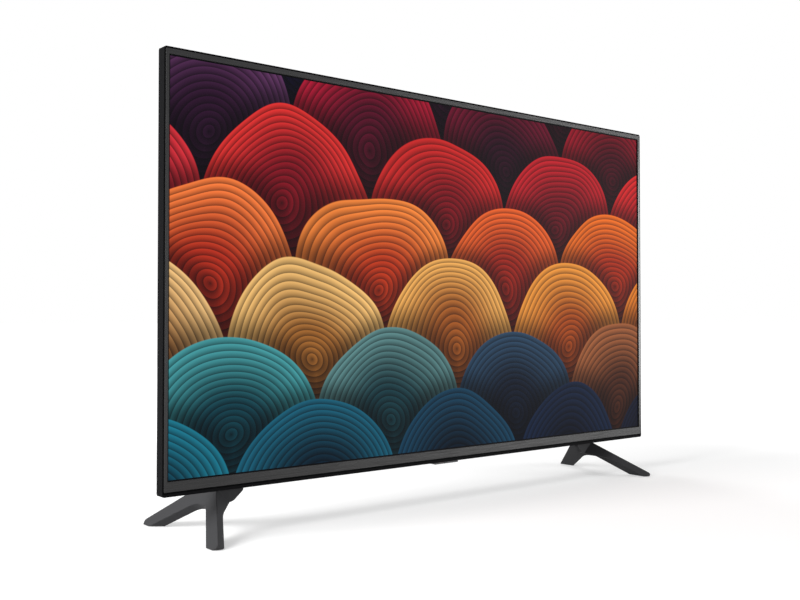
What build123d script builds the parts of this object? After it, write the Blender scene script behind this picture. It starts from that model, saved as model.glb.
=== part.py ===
"""Flat screen television on two V-shaped feet, in millimetres.

The set stands on the floor plane, +Z is up, +X is to the viewer's right and the picture faces -Y.
The origin is on the floor, midway between the feet and midway between their front and rear toes.
Distances called "front" or "depth" are counted backwards from the bezel's front face.
"""

from build123d import *
from math import cos, radians, sin, tan
import os

# Picture opening and the frame round it
aperture_width = 944.2
aperture_height = 532.4
bezel_side = 7.2
bezel_top = 9.5
bezel_bottom = 18.9
floor_gap = 62.0

# Reach of the feet from the bezel's front face
foot_front_reach = 53.0
foot_rear_reach = 149.0

# Small shared sizes
fit_gap = 0.3
loose_gap = 0.5
overrun = 1.0
thread_gap = 0.1
screw_gap = 0.4

# Places that follow from the driving sizes
body_width = aperture_width + 2 * bezel_side
body_height = aperture_height + bezel_top + bezel_bottom
body_half = body_width / 2
body_bottom = floor_gap
body_top = body_bottom + body_height
aperture_bottom = body_bottom + bezel_bottom
aperture_top = body_top - bezel_top
screen_z = (aperture_bottom + aperture_top) / 2
bezel_front_y = foot_front_reach - (foot_front_reach + foot_rear_reach) / 2

# Middle frame: the slim side wall, the lip under the picture and the ledge that holds the glass
frame_wall = 1.5
frame_bottom_wall = 2.0
frame_setback = 0.6
frame_depth = 16.0
frame_corner = 3.5
frame_edge_round = 0.5
lip_height = 4.1
ledge_front = 3.5
ledge_thickness = 1.5
ledge_show = 0.6
rib_rear = 7.8

# Bezel face
bezel_thickness = 1.6
bezel_return = 1.2
bezel_corner = 2.0
bezel_bevel = 0.6
groove_side = 0.7
groove_bottom = 1.7

# Display glass, its gasket and the driver boards under its lower edge
glass_front = 2.1
glass_margin = 2.6
gasket_margin = 0.5
gasket_width = 1.8
source_board_width = 320.0
source_board_thickness = 1.0
source_board_x = 190.0
source_board_gap = 1.2
flex_width = 28.0
flex_thickness = 0.3
flex_count = 6
flex_pitch_share = 0.156

# Optical stack
film_thickness = 0.8
film_inset = 0.3
diffuser_thickness = 1.5
reflector_thickness = 0.4
reflector_rim = 0.5

# Backlight pan
tray_thickness = 0.8
tray_floor_front = 26.5
pan_mouth_inset = 1.0
pan_floor_inset = 32.0
pan_gap = 0.6
led_columns = 9
led_rows = 4
led_pitch_x = 104.0
led_pitch_z = 133.0
strip_height = 18.0
strip_thickness = 1.0
strip_end = 14.0
chip_size = 3.0
chip_height = 0.8
lens_radius = 8.0
lens_height = 5.5
lens_round = 2.5
lens_pocket_radius = 2.6
lens_pocket_depth = 1.4
peg_base_radius = 6.0
peg_tip_radius = 1.5
peg_pitch_x = 208.0

# Wall mount posts
vesa_spacing = 200.0
vesa_low_rise = 98.0
vesa_post_radius = 7.0
vesa_thread_radius = 2.5
vesa_thread_depth = 22.0
vesa_window_gap = 2.0

# Rear cover
cover_wall = 2.2
cover_inset = 0.6
cover_lift = 2.0
cover_lip_depth = 1.5
thin_depth = 32.0
thin_inset = 24.0
bulge_depth = 75.0
bulge_start = 17.0
band_inset = 74.3
band_height = 85.0
box_width = 540.0
box_head_room = 47.0
bulge_corner = 14.0
bulge_edge = 5.0
vent_width = 3.0
vent_length = 26.0
vent_pitch = 8.0
vent_columns = 44
vent_drop = 66.0
box_vent_columns = 40
box_vent_drop = 26.0
grille_columns = 9
grille_pitch = 4.5
grille_slot_width = 2.0
grille_slot_length = 24.0
plate_recess_depth = 0.6
plate_recess_width = 76.0
plate_recess_height = 46.0
cover_bottom = body_bottom + cover_lift
band_top = cover_bottom + band_height
box_height = vesa_low_rise + vesa_spacing + box_head_room
box_top = cover_bottom + box_height
vesa_z = cover_bottom + vesa_low_rise + vesa_spacing / 2
cover_inner_rear = bulge_depth - cover_wall
thin_inner_rear = thin_depth - cover_wall

# Screws: cover, frame, boards
cover_screw_radius = 1.5
cover_screw_length = 4.4
cover_head_radius = 3.0
cover_head_height = 1.6
cover_boss_radius = 5.2
cover_well_radius = 3.6
cover_well_wall = 1.6
frame_screw_radius = 1.2
frame_screw_length = 3.6
frame_head_radius = 2.1
frame_head_height = 1.2
frame_screw_edge = 2.5
frame_screw_x_shares = (-0.92, -0.36, 0.36, 0.92)
head_cross_width = 0.6
head_cross_share = 1.2
board_post_radius = 3.2
board_screw_radius = 1.4
board_screw_length = 4.0
board_head_radius = 2.6
board_head_height = 1.4
board_screw_inset = 6.0

# Main board with its sockets on the +X side
board_thickness = 1.6
board_front = 32.3
board_post_gap = 9.0
main_bottom_rise = 118.0
main_head_room = 31.0
port_wall_gap = 3.8
port_recess = 0.6
port_margin = 7.0
port_depth = 14.0
port_opening_gap = 0.5
port_wall = 0.7
port_floor = 2.0
port_tongue_end = 1.5
hdmi_width = 15.0
hdmi_height = 6.4
hdmi_tongue_width = 11.6
hdmi_tongue_height = 1.5
usb_width = 14.4
usb_height = 7.2
usb_tongue_width = 10.6
usb_tongue_height = 2.0
lan_width = 16.0
lan_height = 13.4
lan_mouth_width = 12.0
lan_mouth_height = 8.4
antenna_width = 15.0
antenna_height = 13.0
antenna_barrel_length = 9.0
antenna_barrel_radius = 4.8
antenna_bore_radius = 3.8
antenna_pin_radius = 0.9
jack_width = 11.0
jack_height = 9.0
jack_bore_radius = 1.8
optical_width = 11.0
optical_height = 9.6
optical_mouth = 6.0
chip_thickness = 2.0
big_chip_width = 27.0
small_chip_width = 13.0
small_chip_height = 9.0
sink_width = 46.0
sink_base = 3.0
sink_fin_height = 10.0
sink_fin_thickness = 1.4
sink_fins = 7

# Power board with the mains inlet on the -X side
transformer_width = 34.0
transformer_height = 30.0
transformer_depth = 24.0
transformer_core_width = 22.0
choke_size = 18.0
capacitor_radius = 8.0
capacitor_length = 26.0
small_capacitor_radius = 5.0
small_capacitor_length = 18.0
power_sink_width = 44.0
power_sink_height = 22.0
power_sink_thickness = 3.0
inlet_width = 23.0
inlet_height = 14.0
inlet_depth = 20.0
inlet_mouth_width = 19.0
inlet_mouth_height = 10.0
inlet_mouth_depth = 14.0
inlet_pin_radius = 1.2
inlet_pin_spacing = 8.6
inlet_pin_length = 12.0
inlet_rise = 150.0

# Timing board, radio board, flat ribbons and their plugs
timing_margin = 23.0
timing_height = 52.0
timing_rise = 150.0
timing_post = 4.0
ribbon_width = 24.0
ribbon_thickness = 0.4
ribbon_inset = 10.0
ribbon_bend = 6.0
ribbon_plug_width = 27.0
ribbon_slot_gap = 1.0
plug_width = 10.0
plug_height = 6.0
plug_depth = 5.0
ribbon_plug_depth = 4.0
radio_width = 42.0
radio_height = 18.0
radio_rise = 270.0
radio_can_width = 12.0
radio_can_height = 14.0

# Round cables inside the set
wire_radius = 1.2
power_wire_radius = 1.8
wire_bend = 8.0
power_wire_bend = 10.0
cable_rear = 52.0
power_plug_x = 142.0
led_plug_x = 152.0
key_plug_x = 132.0
right_speaker_plug_x = 172.0
left_speaker_plug_x = 156.0
speaker_cable_x = 172.0
power_plug_z_share = 0.3
display_plug_z_share = -0.2
key_cable_rise = 71.0
speaker_cable_rise = 84.0

# Speakers in the lower band, playing downwards
speaker_width = 150.0
speaker_height = 58.0
speaker_front = 31.0
speaker_depth = 38.0
speaker_wall = 2.0
speaker_round = 4.0
speaker_bracket_gap = 18.9
speaker_rise = 12.0
driver_radius = 17.0
driver_rim = 2.6
driver_flange = 1.5
basket_wall = 1.2
basket_depth = 9.0
magnet_radius = 11.5
magnet_height = 8.0
magnet_cap = 2.0
coil_radius = 5.0
coil_wall = 0.6
coil_gap = 0.6
coil_depth = 2.5
cone_gap = 0.4
cone_wall = 0.6
cone_rim = 1.4
cone_depth = 6.0
ear_thickness = 2.4
ear_wall = 2.8
bush_radius = 5.2
bush_bore = 2.8
bush_length = 6.4
bush_groove = 1.2
bush_boss_radius = 2.5

# Control module under the middle of the lower edge
module_width = 47.0
module_front = 8.0
module_depth = 18.0
module_drop = 4.0
module_wall = 1.0
module_round = 0.9
module_step_gap = 1.5
module_x = 11.0
button_width = 11.0
button_length = 6.0
button_proud = 0.4
button_flange = 0.9
button_flange_thickness = 1.0
button_travel = 0.6
button_stem_radius = 1.8
button_gap = 0.35
button_round = 1.0
window_width = 12.0
window_height = 2.0
window_sink = 0.3
pipe_width = 8.0
pipe_thickness = 3.0
pipe_front = 18.6
passage_front = 17.6
passage_depth = 7.4
passage_width = 36.0
key_board_rise = 10.5
key_board_width = 42.0
key_board_depth = 15.0
key_board_thickness = 1.2
key_switch_size = 6.0
key_switch_height = 3.6
plunger_radius = 1.5
plunger_length = 3.2
plunger_roof = 0.6
receiver_width = 6.0
receiver_height = 3.6
receiver_depth = 3.6
hook_width = 3.0
hook_thickness = 1.0
hook_height = 1.5
hook_nose = 0.8
key_post_radius = 2.6

# Stand brackets inside, feet below
bracket_thickness = 2.0
bracket_width = 54.0
bracket_depth = 42.0
bracket_rise = 76.0
bracket_screw_rise = 60.0
bracket_screw_spread = 18.0
bracket_screw_length = 3.4
bracket_boss_radius = 4.0
bracket_boss_height = 4.0
foot_lean = 44.0
foot_thickness = 12.0
foot_edge_inset = 103.0
flange_reach = 33.0
flange_thickness = 6.0
flange_round = 5.0
flange_neck = 30.0
web_round = 24.0
gusset_reach = 19.0
gusset_drop = 25.0
gusset_end_drop = 12.0
gusset_leg_drop = 34.0
gusset_leg_end = 42.0
gusset_depth = 7.0
gusset_bury = 6.0
gusset_round = 10.0
leg_front_top = 39.0
leg_front_drop = 10.0
leg_rear_top = 71.0
neck_draft = 3.0
neck_round = 3.0
front_sole = 19.0
rear_sole = 19.0
toe_height = 10.0
toe_side = 4.0
toe_rake = 5.0
toe_round = 4.0
heel_round = 6.0
arch_front = 36.0
arch_rear = 62.0
arch_drop = 35.5
arch_front_round = 10.0
arch_rear_round = 36.0
foot_edge_round = 1.2
pad_length = 9.0
pad_width = 7.0
pad_round = 1.5
pad_height = 2.2
pad_proud = 1.0
pad_inset = 11.4
foot_screw_radius = 2.0
foot_screw_length = 10.5
foot_head_radius = 3.6
foot_head_height = 2.4
foot_screw_well = 3.0
foot_screw_depths = (52.0, 65.0)
foot_screw_inset = 122.0


def behind(distance):
    """Y of a place the given distance behind the bezel's front face."""
    return bezel_front_y + distance


def facing(distance):
    """Sketch plane parallel to the picture, seen from the viewer: local Y is up."""
    return Plane.XZ.offset(-behind(distance))


def panel(width, low, high, corner=0, mode=Mode.ADD):
    """Rectangle centred on X = 0 between two heights, in the current sketch."""
    with Locations((0, (low + high) / 2)):
        if corner > 0:
            RectangleRounded(width, high - low, corner, mode=mode)
        else:
            Rectangle(width, high - low, mode=mode)


def plate(x, z, front, width, height, thickness, mode=Mode.ADD):
    """Block centred on (x, z) that starts at a depth and goes backwards."""
    with Locations((x, behind(front), z)):
        Box(width, thickness, height, align=(Align.CENTER, Align.MIN, Align.CENTER), mode=mode)


def around_picture(margin):
    """Width, lower and upper height of a rectangle a margin larger than the picture opening."""
    return aperture_width + 2 * margin, aperture_bottom - margin, aperture_top + margin


def inside_frame(gap, bottom_wall=frame_bottom_wall):
    """Width, lower and upper height of the space inside the middle frame's wall."""
    return (body_width - 2 * (frame_wall + gap), body_bottom + bottom_wall + gap,
            body_top - frame_wall - gap)


def inside_outline(inset):
    """Width, lower and upper height of the set's outline drawn in by an inset."""
    return body_width - 2 * inset, body_bottom + inset, body_top - inset


def rearward(x, z, depth):
    """Plane at a depth whose normal points backwards."""
    return Plane(origin=(x, behind(depth), z), x_dir=(1, 0, 0), z_dir=(0, 1, 0))


def forward(x, z, depth):
    """Plane at a depth whose normal points to the viewer."""
    return Plane(origin=(x, behind(depth), z), x_dir=(1, 0, 0), z_dir=(0, -1, 0))


def tapered(near, far, near_depth, far_depth, mode=Mode.ADD):
    """Solid between two centred rectangles at two depths, in the current part."""
    with BuildSketch(facing(near_depth)) as near_face:
        panel(*near)
    with BuildSketch(facing(far_depth)) as far_face:
        panel(*far)
    loft(sections=[near_face.sketch, far_face.sketch], mode=mode)


def screws_on(planes, shank, length, head, height):
    """Cross-headed screws whose heads sit on the planes and whose shanks go against their normals."""
    with Locations(*planes):
        Cylinder(shank, length, align=(Align.CENTER, Align.CENTER, Align.MAX))
        Cylinder(head, height, align=(Align.CENTER, Align.CENTER, Align.MIN))
    tops = [plane.offset(height) for plane in planes]
    with Locations(*tops):
        for turn in (0, 90):
            Box(head * head_cross_share, head_cross_width, height, rotation=(0, 0, turn), mode=Mode.SUBTRACT)


# Front: bezel, gasket, glass and the frame that holds them

bezel_outline = (body_width - 2 * (frame_wall + groove_side), body_bottom + lip_height + groove_bottom,
                 body_top - frame_wall - groove_side)


def make_front_bezel():
    width, low, high = bezel_outline
    with BuildPart() as bezel:
        with BuildSketch(facing(0)):
            panel(width, low, high, bezel_corner)
            panel(*around_picture(0), mode=Mode.SUBTRACT)
        extrude(amount=-bezel_thickness)
        front = bezel.faces().sort_by(Axis.Y)[0]
        chamfer(front.edges(), length=bezel_bevel)
        with BuildSketch(facing(bezel_thickness)):
            panel(width, low, high, bezel_corner)
            panel(width - 2 * bezel_return, low + bezel_return, high - bezel_return, mode=Mode.SUBTRACT)
        extrude(amount=-(ledge_front - bezel_thickness))
    bezel.part.label = "front_bezel"
    export_step(bezel.part, "parts/front_bezel.step")


def ribbon_slots(front, rear):
    """Slots through the frame and the tray for the two panel ribbons."""
    for side in (-1, 1):
        plate(side * ribbon_x, ribbon_z, front, ribbon_width + 2 * ribbon_slot_gap,
              ribbon_thickness + 2 * ribbon_slot_gap, rear - front, mode=Mode.SUBTRACT)


def frame_screw_planes(depth):
    """Planes of the screws that hold the tray to the frame, in a row above and a row below."""
    places = []
    for share in frame_screw_x_shares:
        for height in (inside_frame(frame_screw_edge)[1], inside_frame(frame_screw_edge)[2]):
            places.append(rearward(share * body_half, height, depth))
    return places


def make_mid_frame():
    with BuildPart() as frame:
        with BuildSketch(facing(frame_setback)):
            panel(*inside_outline(0), frame_corner)
            panel(*inside_frame(0, lip_height), mode=Mode.SUBTRACT)
        extrude(amount=-(ledge_front - frame_setback))
        fillet(frame.faces().sort_by(Axis.Y)[0].outer_wire().edges(), frame_edge_round)
        with BuildSketch(facing(ledge_front)):
            panel(*inside_outline(0), frame_corner)
            panel(*around_picture(ledge_show), mode=Mode.SUBTRACT)
        extrude(amount=-ledge_thickness)
        with BuildSketch(facing(ledge_front + ledge_thickness)):
            panel(*inside_outline(0), frame_corner)
            panel(*around_picture(glass_margin + fit_gap), mode=Mode.SUBTRACT)
        extrude(amount=-(rib_rear - ledge_front - ledge_thickness))
        with BuildSketch(facing(rib_rear)):
            panel(*inside_outline(0), frame_corner)
            panel(*inside_frame(0), mode=Mode.SUBTRACT)
        extrude(amount=-(frame_depth - rib_rear))
        ribbon_slots(ledge_front - overrun, rib_rear + overrun)
        with Locations(*frame_screw_planes(rib_rear)):
            Cylinder(frame_screw_radius + thread_gap, frame_screw_length - tray_thickness + fit_gap,
                     align=(Align.CENTER, Align.CENTER, Align.MAX), mode=Mode.SUBTRACT)
    frame.part.label = "mid_frame"
    export_step(frame.part, "parts/mid_frame.step")


def make_bezel_gasket():
    with BuildPart() as gasket:
        with BuildSketch(facing(bezel_thickness)):
            panel(*around_picture(gasket_margin + gasket_width))
            panel(*around_picture(gasket_margin), mode=Mode.SUBTRACT)
        extrude(amount=-(glass_front - bezel_thickness))
    gasket.part.label = "bezel_gasket"
    export_step(gasket.part, "parts/bezel_gasket.step")


def make_lcd_cell():
    with BuildPart() as cell:
        with BuildSketch(facing(glass_front)):
            panel(*around_picture(glass_margin))
        extrude(amount=-(ledge_front - glass_front))
    cell.part.label = "lcd_cell"
    export_step(cell.part, "parts/lcd_cell.step")


glass_bottom = aperture_bottom - glass_margin
source_board_top = glass_bottom - source_board_gap
source_board_bottom = bezel_outline[1] + bezel_return + fit_gap
source_board_height = source_board_top - source_board_bottom
source_board_z = (source_board_top + source_board_bottom) / 2
ribbon_z = source_board_z
ribbon_x = source_board_x - source_board_width / 2 + ribbon_width / 2 + ribbon_inset


def make_source_boards():
    with BuildPart() as boards:
        for side in (-1, 1):
            plate(side * source_board_x, source_board_z, ledge_front - source_board_thickness,
                  source_board_width, source_board_height, source_board_thickness)
    boards.part.label = "source_boards"
    export_step(boards.part, "parts/source_boards.step")


def make_source_flexes():
    front = ledge_front - (source_board_thickness + flex_thickness) / 2
    with BuildPart() as flexes:
        for side in (-1, 1):
            for number in range(flex_count):
                x = side * source_board_x + (number - (flex_count - 1) / 2) * flex_pitch_share * source_board_width
                plate(x, (glass_bottom + source_board_top) / 2, front,
                      flex_width, source_board_gap, flex_thickness)
    flexes.part.label = "source_flexes"
    export_step(flexes.part, "parts/source_flexes.step")


# Backlight: films, diffuser, reflector, light strips and the steel tray

diffuser_front = ledge_front + ledge_thickness + film_thickness
reflector_front = diffuser_front + diffuser_thickness
strip_front = tray_floor_front - strip_thickness
reflector_floor = strip_front - reflector_thickness
tray_rear = tray_floor_front + tray_thickness


def pan_rectangle(extra, floor):
    """Rectangle of the light pan at its mouth or its floor, grown by an extra amount."""
    inset = pan_floor_inset if floor else pan_mouth_inset
    return around_picture(extra - inset)


def led_places():
    """X and Z of every light on the strips."""
    for row in range(led_rows):
        for column in range(led_columns):
            yield ((column - (led_columns - 1) / 2) * led_pitch_x,
                   screen_z + (row - (led_rows - 1) / 2) * led_pitch_z)


def peg_places():
    """X and Z of the pegs that stop the diffuser sagging, between the strips."""
    for row in (-1, 0, 1):
        for column in (-1, 1):
            yield column * peg_pitch_x / 2 * (2 - abs(row)), screen_z + row * led_pitch_z


def make_optical_films():
    with BuildPart() as films:
        with BuildSketch(facing(ledge_front + ledge_thickness)):
            panel(*around_picture(glass_margin - film_inset))
        extrude(amount=-film_thickness)
    films.part.label = "optical_films"
    export_step(films.part, "parts/optical_films.step")


def make_diffuser_plate():
    with BuildPart() as diffuser:
        with BuildSketch(facing(diffuser_front)):
            panel(*around_picture(glass_margin))
        extrude(amount=-diffuser_thickness)
    diffuser.part.label = "diffuser_plate"
    export_step(diffuser.part, "parts/diffuser_plate.step")


def make_diffuser_pegs():
    length = tray_floor_front - reflector_front - fit_gap
    with BuildPart() as pegs:
        with Locations(*[forward(x, z, tray_floor_front) for x, z in peg_places()]):
            Cone(peg_base_radius, peg_tip_radius, length, align=(Align.CENTER, Align.CENTER, Align.MIN))
    pegs.part.label = "diffuser_pegs"
    export_step(pegs.part, "parts/diffuser_pegs.step")


def make_reflector_sheet():
    shrink = reflector_thickness
    with BuildPart() as reflector:
        tapered(pan_rectangle(0, False), pan_rectangle(0, True), reflector_front,
                reflector_floor + reflector_thickness)
        with BuildSketch(facing(reflector_front)):
            panel(*around_picture(glass_margin))
        extrude(amount=-reflector_rim)
        tapered(pan_rectangle(-shrink, False), pan_rectangle(-shrink, True), reflector_front,
                reflector_floor, mode=Mode.SUBTRACT)
        with BuildSketch(facing(reflector_floor - overrun)):
            with Locations(*led_places()):
                Circle(lens_radius + loose_gap)
            with Locations(*peg_places()):
                Circle(peg_base_radius + loose_gap)
        extrude(amount=-(reflector_thickness + 2 * overrun), mode=Mode.SUBTRACT)
    reflector.part.label = "reflector_sheet"
    export_step(reflector.part, "parts/reflector_sheet.step")


def make_led_strips():
    length = (led_columns - 1) * led_pitch_x + 2 * strip_end
    with BuildPart() as strips:
        for row in range(led_rows):
            plate(0, screen_z + (row - (led_rows - 1) / 2) * led_pitch_z, strip_front,
                  length, strip_height, strip_thickness)
    strips.part.label = "led_strips"
    export_step(strips.part, "parts/led_strips.step")


def make_led_chips():
    with BuildPart() as chips:
        with Locations(*[forward(x, z, strip_front) for x, z in led_places()]):
            Box(chip_size, chip_size, chip_height, align=(Align.CENTER, Align.CENTER, Align.MIN))
    chips.part.label = "led_chips"
    export_step(chips.part, "parts/led_chips.step")


def make_led_lenses():
    with BuildPart() as lens:
        Cylinder(lens_radius, lens_height, align=(Align.CENTER, Align.CENTER, Align.MIN))
        fillet(lens.faces().sort_by(Axis.Z)[-1].edges(), lens_round)
        Cylinder(lens_pocket_radius, lens_pocket_depth, align=(Align.CENTER, Align.CENTER, Align.MIN),
                 mode=Mode.SUBTRACT)
    with BuildPart() as lenses:
        with Locations(*[forward(x, z, strip_front) for x, z in led_places()]):
            add(lens.part)
    lenses.part.label = "led_lenses"
    export_step(lenses.part, "parts/led_lenses.step")


def make_back_tray():
    grow = pan_gap + tray_thickness
    with BuildPart() as tray:
        with BuildSketch(facing(rib_rear)):
            panel(*inside_frame(fit_gap), frame_corner - frame_wall)
        extrude(amount=-tray_thickness)
        tapered(pan_rectangle(grow, False), pan_rectangle(grow, True), rib_rear, tray_rear)
        tapered(pan_rectangle(pan_gap, False), pan_rectangle(pan_gap, True), rib_rear,
                tray_floor_front, mode=Mode.SUBTRACT)
        ribbon_slots(rib_rear - overrun, rib_rear + tray_thickness + overrun)
        with Locations(*frame_screw_planes(rib_rear)):
            Cylinder(frame_screw_radius + thread_gap, 2 * overrun, mode=Mode.SUBTRACT)
        with Locations(*[rearward(x, z, tray_rear) for x, z, _ in cover_screw_places()]):
            Cylinder(cover_screw_radius + thread_gap, 2 * overrun, mode=Mode.SUBTRACT)
        with Locations(*bracket_screw_planes(tray_rear)):
            Cylinder(cover_screw_radius + thread_gap, 2 * overrun, mode=Mode.SUBTRACT)
        with Locations(rearward(led_cable_x, led_cable_z, tray_rear)):
            Cylinder(wire_radius + loose_gap, 2 * overrun, mode=Mode.SUBTRACT)
    tray.part.label = "back_tray"
    export_step(tray.part, "parts/back_tray.step")


def make_frame_screws():
    with BuildPart() as screws:
        screws_on(frame_screw_planes(rib_rear + tray_thickness), frame_screw_radius, frame_screw_length,
                  frame_head_radius, frame_head_height)
    screws.part.label = "frame_screws"
    export_step(screws.part, "parts/frame_screws.step")


# Rear cover with its deeper lower part

cover_screw_edge = pan_floor_inset + cover_boss_radius
cover_screw_x = body_half - bezel_side - cover_screw_edge
cover_screw_high = aperture_top - cover_screw_edge
box_screw_x = box_width / 2 - bulge_corner
box_screw_z = box_top - bulge_corner
well_seat = tray_rear + cover_screw_length - 2 * tray_thickness


def cover_screw_places():
    """X, Z and depth of the cover's rear face at every cover screw."""
    side_heights = (band_top + cover_screw_edge, (band_top + cover_screw_high) / 2, cover_screw_high)
    places = [(side * cover_screw_x, z, thin_depth) for side in (-1, 1) for z in side_heights]
    places += [(side * cover_screw_x / 3, cover_screw_high, thin_depth) for side in (-1, 1)]
    places += [(side * box_screw_x, box_screw_z, bulge_depth) for side in (-1, 1)]
    return places


def bulge_outline(inset):
    """Hat-shaped outline of the deep part: a wide band below and a narrower box above."""
    band_half, box_half = body_half - band_inset - inset, box_width / 2 - inset
    low, step, high = cover_bottom + inset, band_top - inset, box_top - inset
    round_corner = bulge_corner - inset
    hollow_corner = bulge_corner + inset
    with BuildLine() as outline:
        FilletPolyline((band_half, low), (band_half, step), (box_half, step), (box_half, high),
                       (-box_half, high), (-box_half, step), (-band_half, step), (-band_half, low),
                       radius=[round_corner, round_corner, hollow_corner, round_corner,
                               round_corner, hollow_corner, round_corner, round_corner], close=True)
    return outline.line


def port_centres():
    """Height of each socket on the main board's edge, from the top down."""
    top = main_z + main_height / 2 - port_pitch / 2
    return [top - number * port_pitch for number in range(len(port_kinds))]


port_kinds = ("hdmi", "hdmi", "hdmi", "usb", "usb", "optical", "jack", "antenna", "lan")
port_sizes = {"hdmi": (hdmi_width, hdmi_height), "usb": (usb_width, usb_height),
              "optical": (optical_width, optical_height), "jack": (jack_width, jack_height),
              "antenna": (antenna_width, antenna_height), "lan": (lan_width, lan_height)}
main_left = vesa_spacing / 2 + vesa_post_radius + board_post_gap
main_height = box_height - main_bottom_rise - main_head_room
main_z = cover_bottom + main_bottom_rise + main_height / 2
port_pitch = (main_height - port_margin) / len(port_kinds)
inlet_z = cover_bottom + inlet_rise
led_cable_x = -(main_left - board_screw_inset)
led_cable_z = screen_z - led_pitch_z / 2
board_rear = board_front + board_thickness


def speaker_grille_x(side):
    """X positions of the slots under one speaker."""
    for number in range(grille_columns):
        yield side * speaker_x + (number - (grille_columns - 1) / 2) * grille_pitch


def cover_vents():
    """Slots at the top of the thin part and near the top of the box, cut in the current part."""
    thin_z = body_top - vent_drop
    box_z = box_top - box_vent_drop - vent_length / 2
    rows = ((thin_z, vent_columns, thin_depth), (box_z, box_vent_columns, bulge_depth))
    for height, columns, depth in rows:
        with BuildSketch(facing(depth + overrun)) as slots:
            with Locations((0, height)):
                with GridLocations(vent_pitch, vent_pitch, columns, 1):
                    SlotOverall(vent_length, vent_width, rotation=90)
        extrude(slots.sketch, amount=cover_wall + 2 * overrun, mode=Mode.SUBTRACT)


def cover_socket_cuts():
    """Cut-outs for the sockets on the +X wall of the box and the inlet on its -X wall."""
    for kind, z in zip(port_kinds, port_centres()):
        width, height = port_sizes[kind]
        with Locations((box_width / 2, behind(board_rear + height / 2), z)):
            Box(2 * cover_wall + 2 * overrun, height + 2 * port_opening_gap,
                width + 2 * port_opening_gap, mode=Mode.SUBTRACT)
    with Locations((-box_width / 2, behind(board_rear + inlet_height / 2), inlet_z)):
        Box(2 * cover_wall + 2 * overrun, inlet_height + 2 * port_opening_gap,
            inlet_width + 2 * port_opening_gap, mode=Mode.SUBTRACT)


def bush_places():
    """X, Z of the rubber bushes that carry the speakers, on bosses of the rear cover."""
    reach = speaker_width / 2 + bush_radius
    for side in (-1, 1):
        for end in (-1, 1):
            yield side * speaker_x + end * reach, speaker_bottom + speaker_height / 2


speaker_bottom = cover_bottom + speaker_rise
bush_front = speaker_front + speaker_depth / 2 - bush_length / 2
foot_screw_x = body_half - foot_screw_inset
speaker_x = foot_screw_x - bracket_width / 2 - speaker_bracket_gap - 2 * bush_radius - speaker_width / 2


def foot_screw_planes(height, side):
    """Planes at a height, normals down, for the screws of one foot."""
    return [Plane(origin=(side * foot_screw_x, behind(depth), height), x_dir=(1, 0, 0), z_dir=(0, 0, -1))
            for depth in foot_screw_depths]


def make_rear_cover():
    near = inside_outline(cover_inset)
    far = inside_outline(cover_inset + thin_inset)
    near_inner = inside_outline(cover_inset + cover_wall)
    far_inner = inside_outline(cover_inset + thin_inset + cover_wall)
    with BuildPart() as cover:
        tapered(near, far, frame_depth, thin_depth)
        with BuildSketch(facing(bulge_start)) as outer:
            make_face(bulge_outline(0).edges())
        extrude(outer.sketch, amount=-(bulge_depth - bulge_start))
        rear_face = cover.faces().sort_by(Axis.Y)[-1]
        fillet(rear_face.edges(), bulge_edge)
        tapered(near_inner, far_inner, frame_depth, thin_inner_rear, mode=Mode.SUBTRACT)
        with BuildSketch(facing(bulge_start)) as inner:
            make_face(bulge_outline(cover_wall).edges())
        extrude(inner.sketch, amount=-(cover_inner_rear - bulge_start), mode=Mode.SUBTRACT)
        with BuildSketch(facing(frame_depth - cover_lip_depth)) as lip:
            panel(*inside_frame(fit_gap))
            panel(*inside_frame(fit_gap + cover_wall), mode=Mode.SUBTRACT)
        extrude(lip.sketch, amount=-(cover_lip_depth + cover_wall))
        cover_bosses()
        cover_vents()
        cover_socket_cuts()
        cover_bottom_cuts()
        with Locations(*[rearward(side * vesa_spacing / 2, vesa_z + rise * vesa_spacing / 2, bulge_depth)
                         for side in (-1, 1) for rise in (-1, 1)]):
            Cylinder(vesa_post_radius + vesa_window_gap, 4 * cover_wall, mode=Mode.SUBTRACT)
        plate(0, vesa_z - vesa_spacing / 2 - plate_recess_height, bulge_depth - plate_recess_depth,
              plate_recess_width, plate_recess_height, overrun + plate_recess_depth, mode=Mode.SUBTRACT)
    cover.part.label = "rear_cover"
    export_step(cover.part, "parts/rear_cover.step")


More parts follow.
